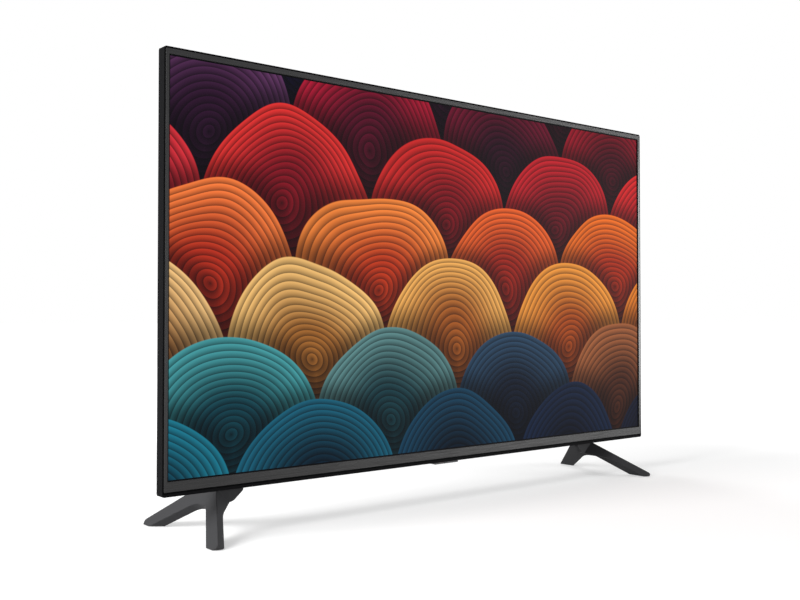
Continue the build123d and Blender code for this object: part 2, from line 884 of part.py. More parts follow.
def cover_bosses():
    """Screw bosses that reach the tray, screw wells and the pins that carry the speakers."""
    wells = [place for place in cover_screw_places() if place[2] == bulge_depth]
    with Locations(*[rearward(x, z, tray_rear) for x, z, depth in cover_screw_places() if depth == thin_depth]):
        Cylinder(cover_boss_radius, thin_inner_rear - tray_rear + overrun,
                 align=(Align.CENTER, Align.CENTER, Align.MIN))
    with Locations(*[rearward(x, z, tray_rear) for x, z, _ in wells]):
        Cylinder(cover_well_radius + cover_well_wall, cover_inner_rear - tray_rear + overrun,
                 align=(Align.CENTER, Align.CENTER, Align.MIN))
    with Locations(*[rearward(x, z, well_seat) for x, z, _ in wells]):
        Cylinder(cover_well_radius, bulge_depth, align=(Align.CENTER, Align.CENTER, Align.MIN),
                 mode=Mode.SUBTRACT)
    with Locations(*[rearward(x, z, thin_depth - cover_head_height)
                     for x, z, depth in cover_screw_places() if depth == thin_depth]):
        Cylinder(cover_head_radius + fit_gap, bulge_depth, align=(Align.CENTER, Align.CENTER, Align.MIN),
                 mode=Mode.SUBTRACT)
    with Locations(*[rearward(x, z, tray_rear - overrun) for x, z, _ in cover_screw_places()]):
        Cylinder(cover_screw_radius + thread_gap, bulge_depth / 3,
                 align=(Align.CENTER, Align.CENTER, Align.MIN), mode=Mode.SUBTRACT)
    with Locations(*[forward(x, z, cover_inner_rear + overrun) for x, z in bush_places()]):
        Cylinder(bush_boss_radius, cover_inner_rear + overrun - bush_front,
                 align=(Align.CENTER, Align.CENTER, Align.MIN))
    with Locations(*[(x, key_post_y, key_board_z) for x in (-key_post_x, key_post_x)]):
        Cylinder(key_post_radius, key_board_rise - overrun, align=(Align.CENTER, Align.CENTER, Align.MAX))
        Cylinder(board_screw_radius + thread_gap, board_screw_length - key_board_thickness + fit_gap,
                 align=(Align.CENTER, Align.CENTER, Align.MAX), mode=Mode.SUBTRACT)


def cover_bottom_cuts():
    """Openings in the cover's lower wall: speaker slots, foot screws and the control module."""
    wall_z = cover_bottom + cover_wall / 2
    speaker_y = behind(speaker_front + speaker_depth / 2)
    for side in (-1, 1):
        for x in speaker_grille_x(side):
            with Locations((x, speaker_y, wall_z)):
                Box(grille_slot_width, grille_slot_length, cover_wall + 2 * overrun, mode=Mode.SUBTRACT)
        with Locations(*foot_screw_planes(wall_z, side)):
            Cylinder(foot_screw_radius + screw_gap, cover_wall + 2 * overrun, mode=Mode.SUBTRACT)
    with Locations((0, behind(passage_front + passage_depth / 2), wall_z)):
        Box(passage_width, passage_depth, cover_wall + 2 * overrun, mode=Mode.SUBTRACT)
    for side in (-1, 1):
        with Locations((side * hook_x, behind(passage_front + passage_depth / 2), wall_z)):
            Box(hook_thickness + 2 * fit_gap, hook_width + 2 * fit_gap, cover_wall + 2 * overrun,
                mode=Mode.SUBTRACT)


def make_rear_cover_screws():
    planes = []
    for x, z, depth in cover_screw_places():
        seat = thin_depth - cover_head_height if depth == thin_depth else well_seat
        planes.append(rearward(x, z, seat))
    with BuildPart() as screws:
        screws_on(planes, cover_screw_radius, cover_screw_length, cover_head_radius, cover_head_height)
    screws.part.label = "rear_cover_screws"
    export_step(screws.part, "parts/rear_cover_screws.step")


# Wall mount posts and board posts on the tray's rear face

main_right = box_width / 2 - cover_wall - port_wall_gap
main_width = main_right - main_left
main_x = (main_left + main_right) / 2
main_low = main_z - main_height / 2
port_face = box_width / 2 - port_recess
timing_width = 2 * (ribbon_x + timing_margin)
timing_z = cover_bottom + timing_rise + timing_height / 2
timing_front = tray_rear + timing_post
timing_rear = timing_front + board_thickness
radio_z = cover_bottom + radio_rise + radio_height / 2


def make_vesa_posts():
    planes = [rearward(side * vesa_spacing / 2, vesa_z + rise * vesa_spacing / 2, tray_rear)
              for side in (-1, 1) for rise in (-1, 1)]
    length = bulge_depth - tray_rear
    with BuildPart() as posts:
        with Locations(*planes):
            Cylinder(vesa_post_radius, length, align=(Align.CENTER, Align.CENTER, Align.MIN))
        with Locations(*[plane.offset(length) for plane in planes]):
            Cylinder(vesa_thread_radius, vesa_thread_depth,
                     align=(Align.CENTER, Align.CENTER, Align.MAX), mode=Mode.SUBTRACT)
    posts.part.label = "vesa_posts"
    export_step(posts.part, "parts/vesa_posts.step")


def board_post_places():
    """X and Z of every board post, with the depth of its board's front face."""
    columns = (main_left + board_screw_inset, main_right - port_depth - board_screw_inset)
    rows = (main_low + board_screw_inset, main_low + main_height - board_screw_inset)
    places = [(side * x, z, board_front) for side in (-1, 1) for x in columns for z in rows]
    places += [(side * (timing_width / 2 - board_screw_inset),
                timing_z + rise * (timing_height / 2 - board_screw_inset), timing_front)
               for side in (-1, 1) for rise in (-1, 1)]
    places += [(side * (radio_width - board_screw_inset) / 2, radio_z, timing_front) for side in (-1, 1)]
    return places


def make_board_posts():
    with BuildPart() as posts:
        for x, z, front in board_post_places():
            with Locations(rearward(x, z, tray_rear)):
                Cylinder(board_post_radius, front - tray_rear, align=(Align.CENTER, Align.CENTER, Align.MIN))
            with Locations(rearward(x, z, front)):
                Cylinder(board_screw_radius + thread_gap, board_screw_length - board_thickness + fit_gap,
                         align=(Align.CENTER, Align.CENTER, Align.MAX), mode=Mode.SUBTRACT)
    posts.part.label = "board_posts"
    export_step(posts.part, "parts/board_posts.step")


def make_board_screws():
    planes = [rearward(x, z, front + board_thickness) for x, z, front in board_post_places()]
    for x in (-key_post_x, key_post_x):
        planes.append(Plane((x, key_post_y, key_board_z + key_board_thickness)))
    with BuildPart() as screws:
        screws_on(planes, board_screw_radius, board_screw_length, board_head_radius, board_head_height)
    screws.part.label = "board_screws"
    export_step(screws.part, "parts/board_screws.step")


def circuit_board(x, z, width, height, front):
    """Board parallel to the picture, with a hole at each post under it, in the current part."""
    plate(x, z, front, width, height, board_thickness)
    for post_x, post_z, _ in board_post_places():
        if abs(post_x - x) < width / 2 and abs(post_z - z) < height / 2:
            with Locations(rearward(post_x, post_z, front)):
                Cylinder(board_screw_radius + thread_gap, 2 * (board_thickness + overrun), mode=Mode.SUBTRACT)


def make_boards():
    with BuildPart() as main:
        circuit_board(main_x, main_z, main_width, main_height, board_front)
    main.part.label = "main_board"
    export_step(main.part, "parts/main_board.step")
    with BuildPart() as power:
        circuit_board(-main_x, main_z, main_width, main_height, board_front)
    power.part.label = "power_board"
    export_step(power.part, "parts/power_board.step")
    with BuildPart() as timing:
        circuit_board(0, timing_z, timing_width, timing_height, timing_front)
        plate(0, timing_z, timing_rear, big_chip_width, small_chip_width, chip_thickness)
    timing.part.label = "timing_board"
    export_step(timing.part, "parts/timing_board.step")
    with BuildPart() as radio:
        circuit_board(0, radio_z, radio_width, radio_height, timing_front)
        plate(0, radio_z, timing_rear, radio_can_width, radio_can_height, chip_thickness)
    radio.part.label = "radio_board"
    export_step(radio.part, "parts/radio_board.step")


# Parts on the main board

def on_board(side, share_x, share_z):
    """X and Z of a place on the main (+1) or power (-1) board, as shares from the board's centre."""
    return side * main_x + share_x * main_width, main_z + share_z * main_height


processor_shares = (-0.07, 0.1)
small_chip_shares = ((-0.2, -0.13), (0.06, -0.13), (-0.28, -0.3), (-0.05, -0.36), (0.24, -0.3))


def make_main_chips():
    with BuildPart() as chips:
        plate(*on_board(1, *processor_shares), board_rear, big_chip_width, big_chip_width, chip_thickness)
        for shares in small_chip_shares:
            plate(*on_board(1, *shares), board_rear, small_chip_width, small_chip_height, chip_thickness)
    chips.part.label = "main_chips"
    export_step(chips.part, "parts/main_chips.step")


def make_main_heat_sink():
    x, z = on_board(1, *processor_shares)
    front = board_rear + chip_thickness
    spacing = (sink_width - sink_fin_thickness) / (sink_fins - 1)
    with BuildPart() as sink:
        plate(x, z, front, sink_width, sink_width, sink_base)
        for number in range(sink_fins):
            plate(x + (number - (sink_fins - 1) / 2) * spacing, z, front + sink_base,
                  sink_fin_thickness, sink_width, sink_fin_height)
    sink.part.label = "main_heat_sink"
    export_step(sink.part, "parts/main_heat_sink.step")


def port_mouth(z, height):
    """Plane in the mouth of a socket on the +X side, normal outwards, local X up."""
    return Plane(origin=(port_face, behind(board_rear + height / 2), z), x_dir=(0, 0, 1), z_dir=(1, 0, 0))


def port_heights(kind):
    """Heights of all the sockets of one kind."""
    return [z for name, z in zip(port_kinds, port_centres()) if name == kind]


def inward(plane, width, height, depth, mode=Mode.ADD):
    """Block that goes in from a socket's mouth plane."""
    with Locations(plane):
        Box(width, height, depth, align=(Align.CENTER, Align.CENTER, Align.MAX), mode=mode)


def tongue_socket(z, width, height, tongue_width, tongue_height):
    """Flat metal socket with a contact tongue, in the current part."""
    mouth = port_mouth(z, height)
    inward(mouth, width, height, port_depth)
    inward(mouth, width - 2 * port_wall, height - 2 * port_wall, port_depth - port_floor, mode=Mode.SUBTRACT)
    inward(mouth.offset(-port_tongue_end), tongue_width, tongue_height, port_depth - port_tongue_end)


def make_ports():
    with BuildPart() as hdmi:
        for z in port_heights("hdmi"):
            tongue_socket(z, hdmi_width, hdmi_height, hdmi_tongue_width, hdmi_tongue_height)
    hdmi.part.label = "hdmi_ports"
    export_step(hdmi.part, "parts/hdmi_ports.step")
    with BuildPart() as usb:
        for z in port_heights("usb"):
            tongue_socket(z, usb_width, usb_height, usb_tongue_width, usb_tongue_height)
    usb.part.label = "usb_ports"
    export_step(usb.part, "parts/usb_ports.step")
    with BuildPart() as lan:
        mouth = port_mouth(port_heights("lan")[0], lan_height)
        inward(mouth, lan_width, lan_height, port_depth)
        inward(mouth, lan_mouth_width, lan_mouth_height, port_depth - port_floor, mode=Mode.SUBTRACT)
    lan.part.label = "lan_port"
    export_step(lan.part, "parts/lan_port.step")


def make_antenna_input():
    mouth = port_mouth(port_heights("antenna")[0], antenna_height)
    with BuildPart() as antenna:
        inward(mouth.offset(-antenna_barrel_length), antenna_width, antenna_height,
               port_depth - antenna_barrel_length)
        with Locations(mouth):
            Cylinder(antenna_barrel_radius, antenna_barrel_length + overrun,
                     align=(Align.CENTER, Align.CENTER, Align.MAX))
            Cylinder(antenna_bore_radius, antenna_barrel_length - overrun,
                     align=(Align.CENTER, Align.CENTER, Align.MAX), mode=Mode.SUBTRACT)
        with Locations(mouth.offset(-overrun)):
            Cylinder(antenna_pin_radius, antenna_barrel_length,
                     align=(Align.CENTER, Align.CENTER, Align.MAX))
    antenna.part.label = "antenna_input"
    export_step(antenna.part, "parts/antenna_input.step")


def make_audio_sockets():
    with BuildPart() as audio:
        mouth = port_mouth(port_heights("jack")[0], jack_height)
        inward(mouth, jack_width, jack_height, port_depth)
        with Locations(mouth):
            Cylinder(jack_bore_radius, port_depth - port_floor,
                     align=(Align.CENTER, Align.CENTER, Align.MAX), mode=Mode.SUBTRACT)
        mouth = port_mouth(port_heights("optical")[0], optical_height)
        inward(mouth, optical_width, optical_height, port_depth)
        inward(mouth, optical_mouth, optical_mouth, port_depth - port_floor, mode=Mode.SUBTRACT)
    audio.part.label = "audio_sockets"
    export_step(audio.part, "parts/audio_sockets.step")


# Parts on the power board

transformer_shares = (0.1, 0.12)
choke_shares = (-0.24, -0.34)
capacitor_shares = ((-0.33, -0.1), (-0.33, 0.04))
small_capacitor_shares = ((0.3, 0.38), (0.2, 0.38), (0.1, 0.38))
power_sink_shares = ((-0.12, 0.1), (0.24, -0.16))


def make_power_transformers():
    x, z = on_board(-1, *transformer_shares)
    with BuildPart() as transformers:
        plate(x, z, board_rear, transformer_core_width, transformer_height, transformer_depth)
        plate(x, z, board_rear, transformer_width, transformer_core_width,
              transformer_depth - chip_thickness)
        plate(*on_board(-1, *choke_shares), board_rear, choke_size, choke_size, choke_size)
    transformers.part.label = "power_transformers"
    export_step(transformers.part, "parts/power_transformers.step")


def make_power_capacitors():
    with BuildPart() as capacitors:
        with Locations(*[rearward(*on_board(-1, *shares), board_rear) for shares in capacitor_shares]):
            Cylinder(capacitor_radius, capacitor_length, align=(Align.CENTER, Align.CENTER, Align.MIN))
        with Locations(*[rearward(*on_board(-1, *shares), board_rear) for shares in small_capacitor_shares]):
            Cylinder(small_capacitor_radius, small_capacitor_length,
                     align=(Align.CENTER, Align.CENTER, Align.MIN))
    capacitors.part.label = "power_capacitors"
    export_step(capacitors.part, "parts/power_capacitors.step")


def make_power_heat_sinks():
    with BuildPart() as sinks:
        for shares in power_sink_shares:
            plate(*on_board(-1, *shares), board_rear, power_sink_thickness, power_sink_width, power_sink_height)
    sinks.part.label = "power_heat_sinks"
    export_step(sinks.part, "parts/power_heat_sinks.step")


def make_ac_inlet():
    mouth = Plane(origin=(-port_face, behind(board_rear + inlet_height / 2), inlet_z),
                  x_dir=(0, 0, 1), z_dir=(-1, 0, 0))
    with BuildPart() as inlet:
        inward(mouth, inlet_width, inlet_height, inlet_depth)
        with BuildSketch(mouth) as opening:
            SlotOverall(inlet_mouth_width, inlet_mouth_height)
        extrude(opening.sketch, amount=-inlet_mouth_depth, mode=Mode.SUBTRACT)
        pins = mouth.offset(-inlet_mouth_depth - overrun)
        with Locations(pins):
            with Locations((-inlet_pin_spacing / 2, 0, 0), (inlet_pin_spacing / 2, 0, 0)):
                Cylinder(inlet_pin_radius, inlet_pin_length + overrun,
                         align=(Align.CENTER, Align.CENTER, Align.MIN))
    inlet.part.label = "ac_inlet"
    export_step(inlet.part, "parts/ac_inlet.step")


# Plugs, ribbons and cables

power_plug_z = main_z + power_plug_z_share * main_height
display_plug_z = timing_z + display_plug_z_share * timing_height
low_plug_z = main_low + plug_height / 2
ribbon_rear = timing_rear + ribbon_plug_depth / 2
display_ribbon_front = (timing_rear + board_rear + ribbon_plug_depth) / 2
key_plug_front = board_front - ribbon_plug_depth
key_wire_depth = board_front - ribbon_plug_depth / 2
speaker_wire_depth = board_rear + plug_depth / 2
key_board_z = cover_bottom + key_board_rise
key_plug_z = key_board_z + key_board_thickness + plug_height / 2


def make_board_plugs():
    with BuildPart() as plugs:
        for side in (-1, 1):
            plate(side * power_plug_x, power_plug_z, board_rear, plug_width, plug_height, plug_depth)
            plate(side * ribbon_x, timing_z - (timing_height - plug_height) / 2, timing_rear,
                  ribbon_plug_width, plug_height, ribbon_plug_depth)
        plate(-led_plug_x, led_cable_z, board_rear, plug_width, plug_height, plug_depth)
        plate(left_speaker_plug_x, low_plug_z, board_rear, plug_width, plug_height, plug_depth)
        plate(right_speaker_plug_x, low_plug_z, board_rear, plug_width, plug_height, plug_depth)
        plate(key_plug_x, low_plug_z, key_plug_front, plug_width, plug_height, ribbon_plug_depth)
        plate(0, key_plug_z, key_plug_front, plug_width, plug_height, ribbon_plug_depth)
        plate((timing_width - plug_height) / 2, display_plug_z, timing_rear, plug_height, plug_width,
              ribbon_plug_depth)
        plate(main_left + plug_height / 2, display_plug_z, board_rear, plug_height, plug_width,
              ribbon_plug_depth)
        plate(main_left + plug_height / 2, radio_z, board_rear, plug_height, plug_width, ribbon_plug_depth)
        plate((radio_can_width + plug_height) / 2, radio_z, timing_rear, plug_height, plug_width,
              ribbon_plug_depth)
    plugs.part.label = "board_plugs"
    export_step(plugs.part, "parts/board_plugs.step")


def swept(points, bend, radius):
    """Round cable along points given as X, depth and height, added to the current part."""
    corners = [(x, behind(depth), z) for x, depth, z in points]
    with BuildLine() as route:
        FilletPolyline(*corners, radius=[bend] * (len(corners) - 2))
    path = route.wires()[0]
    with BuildSketch(Plane(origin=path @ 0, z_dir=path % 0)) as section:
        Circle(radius)
    sweep(sections=section.sketch, path=path)


def make_panel_ribbons():
    corners = [(behind(ledge_front), ribbon_z), (behind(ribbon_rear), ribbon_z),
               (behind(ribbon_rear), timing_z - timing_height / 2)]
    with BuildPart() as ribbons:
        for side in (-1, 1):
            with BuildLine() as route:
                FilletPolyline(*[(side * ribbon_x, y, z) for y, z in corners], radius=[ribbon_bend])
            path = route.wires()[0]
            with BuildSketch(Plane(origin=path @ 0, x_dir=(1, 0, 0), z_dir=path % 0)) as section:
                Rectangle(ribbon_width, ribbon_thickness)
            sweep(sections=section.sketch, path=path)
        plate((timing_width / 2 + main_left) / 2, display_plug_z, display_ribbon_front,
              main_left - timing_width / 2, plug_width, ribbon_thickness)
        plate((radio_can_width / 2 + plug_height + main_left) / 2, radio_z, display_ribbon_front,
              main_left - radio_can_width / 2 - plug_height, plug_height, ribbon_thickness)
    ribbons.part.label = "panel_ribbons"
    export_step(ribbons.part, "parts/panel_ribbons.step")


def make_cables():
    plug_rear = board_rear + plug_depth
    with BuildPart() as power:
        swept([(-power_plug_x, plug_rear, power_plug_z), (-power_plug_x, cable_rear, power_plug_z),
               (power_plug_x, cable_rear, power_plug_z), (power_plug_x, plug_rear, power_plug_z)],
              power_wire_bend, power_wire_radius)
        swept([(led_cable_x, tray_floor_front, led_cable_z), (led_cable_x, cable_rear, led_cable_z),
               (-led_plug_x, cable_rear, led_cable_z), (-led_plug_x, plug_rear, led_cable_z)],
              wire_bend, wire_radius)
    power.part.label = "power_cables"
    export_step(power.part, "parts/power_cables.step")
    key_low = key_plug_z + plug_height / 2
    key_turn = cover_bottom + key_cable_rise
    with BuildPart() as key:
        swept([(0, key_wire_depth, key_low), (0, key_wire_depth, key_turn),
               (key_plug_x, key_wire_depth, key_turn), (key_plug_x, key_wire_depth, main_low)],
              wire_bend, wire_radius)
    key.part.label = "key_cable"
    export_step(key.part, "parts/key_cable.step")
    speaker_top = speaker_bottom + speaker_height
    speaker_turn = cover_bottom + speaker_cable_rise
    with BuildPart() as speakers:
        with Locations((right_speaker_plug_x, behind(speaker_wire_depth), speaker_top)):
            Cylinder(wire_radius, main_low - speaker_top, align=(Align.CENTER, Align.CENTER, Align.MIN))
        swept([(-speaker_cable_x, speaker_wire_depth, speaker_top),
               (-speaker_cable_x, speaker_wire_depth, speaker_turn),
               (left_speaker_plug_x, speaker_wire_depth, speaker_turn),
               (left_speaker_plug_x, speaker_wire_depth, main_low)], wire_bend, wire_radius)
    speakers.part.label = "speaker_cables"
    export_step(speakers.part, "parts/speaker_cables.step")


# Speakers

speaker_y = behind(speaker_front + speaker_depth / 2)
driver_bore = driver_radius - driver_rim
basket_radius = driver_bore - fit_gap


def make_speaker_box(side, name):
    x, z = side * speaker_x, speaker_bottom + speaker_height / 2
    ear_front = speaker_front + (speaker_depth - ear_thickness) / 2
    ear_height = 2 * (bush_radius + ear_wall)
    with BuildPart() as box:
        with BuildSketch(facing(speaker_front)):
            with Locations((x, z)):
                RectangleRounded(speaker_width, speaker_height, speaker_round)
        extrude(amount=-speaker_depth)
        plate(x, z, ear_front, speaker_width + 4 * bush_radius + 2 * ear_wall, ear_height, ear_thickness)
        plate(x, z, speaker_front + speaker_wall, speaker_width - 2 * speaker_wall,
              speaker_height - 2 * speaker_wall, speaker_depth - 2 * speaker_wall, mode=Mode.SUBTRACT)
        with Locations((x, speaker_y, speaker_bottom)):
            Cylinder(driver_bore, 2 * speaker_wall + overrun, mode=Mode.SUBTRACT)
        with Locations(*[rearward(bush_x, bush_z, ear_front) for bush_x, bush_z in bush_places()]):
            Cylinder(bush_radius - bush_groove + thread_gap, 2 * ear_thickness + overrun, mode=Mode.SUBTRACT)
    box.part.label = name
    export_step(box.part, f"parts/{name}.step")


def make_speaker_bushes():
    with BuildPart() as bushes:
        planes = [rearward(x, z, bush_front) for x, z in bush_places()]
        with Locations(*planes):
            Cylinder(bush_radius, bush_length, align=(Align.CENTER, Align.CENTER, Align.MIN))
            Cylinder(bush_bore, bush_length, align=(Align.CENTER, Align.CENTER, Align.MIN), mode=Mode.SUBTRACT)
        with BuildSketch(facing(speaker_front + (speaker_depth - ear_thickness) / 2)) as grooves:
            with Locations(*bush_places()):
                Circle(bush_radius + overrun)
                Circle(bush_radius - bush_groove, mode=Mode.SUBTRACT)
        extrude(grooves.sketch, amount=-ear_thickness, mode=Mode.SUBTRACT)
    bushes.part.label = "speaker_bushes"
    export_step(bushes.part, "parts/speaker_bushes.step")


def make_speaker_driver(side, prefix):
    x = side * speaker_x
    axis = Axis((x, speaker_y, 0), (0, 0, 1))
    section = Plane(origin=(x, speaker_y, speaker_bottom), x_dir=(1, 0, 0), z_dir=(0, -1, 0))
    roof = basket_depth + driver_flange
    magnet_top = roof + magnet_height
    slot_in = coil_radius - coil_wall / 2 - coil_gap
    slot_out = coil_radius + coil_wall / 2 + coil_gap
    slot_top = magnet_top - magnet_cap
    with BuildPart() as basket:
        with BuildSketch(section):
            with BuildLine():
                Polyline((basket_radius - basket_wall, -driver_flange), (driver_radius, -driver_flange),
                         (driver_radius, 0), (basket_radius, 0), (basket_radius, roof),
                         (magnet_radius, roof), (magnet_radius, magnet_top), (0, magnet_top),
                         (0, basket_depth), (slot_in, basket_depth), (slot_in, slot_top),
                         (slot_out, slot_top), (slot_out, basket_depth),
                         (basket_radius - basket_wall, basket_depth), close=True)
            make_face()
        revolve(axis=axis)
    basket.part.label = f"{prefix}_speaker_basket"
    export_step(basket.part, f"parts/{prefix}_speaker_basket.step")
    edge = basket_radius - basket_wall - cone_gap
    coil_in, coil_out = coil_radius - coil_wall / 2, coil_radius + coil_wall / 2
    with BuildPart() as cone:
        with BuildSketch(section):
            with BuildLine():
                Polyline((edge, 0), (edge, cone_wall), (edge - cone_rim, cone_wall),
                         (coil_out, cone_depth + cone_wall), (coil_out, basket_depth + coil_depth),
                         (coil_in, basket_depth + coil_depth), (coil_in, cone_depth + cone_wall),
                         (0, cone_depth + cone_wall), (0, cone_depth), (coil_in, cone_depth),
                         (edge - cone_rim - cone_wall, 0), close=True)
            make_face()
        revolve(axis=axis)
    cone.part.label = f"{prefix}_speaker_cone"
    export_step(cone.part, f"parts/{prefix}_speaker_cone.step")


# Control module: housing, window, power button and the board above it

module_low = body_bottom - module_drop
module_floor = module_low + module_wall
module_rear = module_front + module_depth
passage_y = behind(passage_front + passage_depth / 2)
hook_x = module_width / 2 - module_wall - hook_thickness / 2 - hook_nose
key_post_x = key_board_width / 2 - key_post_radius - fit_gap
key_post_y = behind(passage_front + key_board_depth - key_post_radius - fit_gap)
plunger_low = key_board_z - plunger_roof - button_travel - plunger_length


def make_sensor_housing():
    with BuildPart() as housing:
        with Locations((0, behind(module_front), module_low)):
            Box(module_width, module_depth, module_drop, align=(Align.CENTER, Align.MIN, Align.MIN))
        fillet(housing.faces().sort_by(Axis.Z)[0].edges(), module_round)
        with Locations((0, behind(module_rear), body_bottom)):
            Box(module_width, module_rear - frame_depth - module_step_gap, cover_lift,
                align=(Align.CENTER, Align.MAX, Align.MIN))
        with Locations((0, behind(module_front + module_wall), module_floor)):
            Box(module_width - 2 * module_wall, module_depth - 2 * module_wall, body_bottom,
                align=(Align.CENTER, Align.MIN, Align.MIN), mode=Mode.SUBTRACT)
        for side in (-1, 1):
            with Locations((side * hook_x, passage_y, module_floor)):
                Box(hook_thickness, hook_width, cover_bottom + cover_wall + hook_height - module_floor,
                    align=(Align.CENTER, Align.CENTER, Align.MIN))
            with Locations((side * (hook_x + hook_nose / 2), passage_y, cover_bottom + cover_wall)):
                Box(hook_thickness + hook_nose, hook_width, hook_height,
                    align=(Align.CENTER, Align.CENTER, Align.MIN))
        with Locations((module_x, passage_y, module_floor)):
            Box(button_width + 2 * button_gap, button_length + 2 * button_gap, 2 * (module_wall + overrun),
                mode=Mode.SUBTRACT)
        with Locations((-module_x, behind(module_front), module_floor)):
            Box(window_width + 2 * thread_gap, 2 * (module_wall + overrun), window_height + thread_gap,
                align=(Align.CENTER, Align.CENTER, Align.MIN), mode=Mode.SUBTRACT)
    housing.part.label = "sensor_housing"
    export_step(housing.part, "parts/sensor_housing.step")


def make_sensor_window():
    pipe_rear = pipe_front + pipe_thickness
    pipe_top = key_board_z - receiver_height - fit_gap
    with BuildPart() as window:
        with Locations((-module_x, behind(module_front + window_sink), module_floor)):
            Box(window_width, pipe_rear - module_front - window_sink, window_height,
                align=(Align.CENTER, Align.MIN, Align.MIN))
        with Locations((-module_x, behind(pipe_front), module_floor)):
            Box(pipe_width, pipe_thickness, pipe_top - module_floor,
                align=(Align.CENTER, Align.MIN, Align.MIN))
    window.part.label = "sensor_window"
    export_step(window.part, "parts/sensor_window.step")


def make_power_button():
    with BuildPart() as button:
        with BuildSketch(Plane((module_x, passage_y, module_low - button_proud))):
            RectangleRounded(button_width, button_length, button_round)
        extrude(amount=button_proud + module_wall + button_flange_thickness)
        with Locations((module_x, passage_y, module_floor)):
            Box(button_width + 2 * (button_gap + button_flange), button_length, button_flange_thickness,
                align=(Align.CENTER, Align.CENTER, Align.MIN))
            Cylinder(button_stem_radius, plunger_low - module_floor,
                     align=(Align.CENTER, Align.CENTER, Align.MIN))
    button.part.label = "power_button"
    export_step(button.part, "parts/power_button.step")


def make_key_board():
    board_y = behind(passage_front + key_board_depth / 2)
    with BuildPart() as board:
        with Locations((0, board_y, key_board_z)):
            Box(key_board_width, key_board_depth, key_board_thickness,
                align=(Align.CENTER, Align.CENTER, Align.MIN))
        with Locations((-key_post_x, key_post_y, key_board_z), (key_post_x, key_post_y, key_board_z)):
            Cylinder(board_screw_radius + thread_gap, 2 * (key_board_thickness + overrun), mode=Mode.SUBTRACT)
    board.part.label = "key_board"
    export_step(board.part, "parts/key_board.step")
    with BuildPart() as receiver:
        with Locations((-module_x, behind(pipe_front), key_board_z)):
            Box(receiver_width, receiver_depth, receiver_height,
                align=(Align.CENTER, Align.MIN, Align.MAX))
    receiver.part.label = "ir_receiver"
    export_step(receiver.part, "parts/ir_receiver.step")
    with BuildPart() as switch:
        with Locations((module_x, passage_y, key_board_z)):
            Box(key_switch_size, key_switch_size, key_switch_height,
                align=(Align.CENTER, Align.CENTER, Align.MAX))
        with Locations((module_x, passage_y, key_board_z - plunger_roof)):
            Cylinder(plunger_radius + fit_gap, key_switch_height,
                     align=(Align.CENTER, Align.CENTER, Align.MAX), mode=Mode.SUBTRACT)
    switch.part.label = "key_switch"
    export_step(switch.part, "parts/key_switch.step")
    with BuildPart() as plunger:
        with Locations((module_x, passage_y, plunger_low)):
            Cylinder(plunger_radius, plunger_length, align=(Align.CENTER, Align.CENTER, Align.MIN))
    plunger.part.label = "switch_plunger"
    export_step(plunger.part, "parts/switch_plunger.step")


# Stand: brackets inside, a V-shaped foot under each side, pads and screws

bracket_low = cover_bottom + cover_wall


def bracket_screw_planes(depth):
    """Planes of the screws that hold the brackets to the tray."""
    return [rearward(side * foot_screw_x + end * bracket_screw_spread, bracket_low + bracket_screw_rise, depth)
            for side in (-1, 1) for end in (-1, 1)]


def make_stand_brackets():
    with BuildPart() as brackets:
        for side in (-1, 1):
            with Locations((side * foot_screw_x, behind(tray_rear), bracket_low)):
                Box(bracket_width, bracket_depth, bracket_thickness, align=(Align.CENTER, Align.MIN, Align.MIN))
                Box(bracket_width, bracket_thickness, bracket_rise, align=(Align.CENTER, Align.MIN, Align.MIN))
            with Locations(*foot_screw_planes(bracket_low, side)):
                Cylinder(bracket_boss_radius, bracket_thickness + bracket_boss_height,
                         align=(Align.CENTER, Align.CENTER, Align.MAX))
            with Locations(*foot_screw_planes(bracket_low - overrun, side)):
                Cylinder(foot_screw_radius + thread_gap, bracket_thickness + bracket_boss_height + 2 * overrun,
                         align=(Align.CENTER, Align.CENTER, Align.MAX), mode=Mode.SUBTRACT)
        with Locations(*bracket_screw_planes(tray_rear)):
            Cylinder(cover_screw_radius + thread_gap, 2 * (bracket_thickness + overrun), mode=Mode.SUBTRACT)
    brackets.part.label = "stand_brackets"
    export_step(brackets.part, "parts/stand_brackets.step")
    with BuildPart() as screws:
        screws_on(bracket_screw_planes(tray_rear + bracket_thickness), cover_screw_radius,
                  bracket_screw_length, cover_head_radius, cover_head_height)
    screws.part.label = "bracket_screws"
    export_step(screws.part, "parts/bracket_screws.step")


foot_tilt = radians(foot_lean)
foot_spread = tan(foot_tilt)
foot_span = foot_thickness / cos(foot_tilt)
foot_length = cover_bottom / cos(foot_tilt)
foot_top_x = body_half - foot_edge_inset
flange_low = cover_bottom - flange_thickness
pad_x = foot_top_x + (cover_bottom - pad_proud) * foot_spread - foot_span / 2
pad_depths = (pad_inset - foot_front_reach, foot_rear_reach - pad_inset)


def leg_inner(drop):
    """The inner face of the left leg in the XZ plane, at a drop below the cover's bottom."""
    return foot_span - foot_top_x - drop * foot_spread, cover_bottom - drop


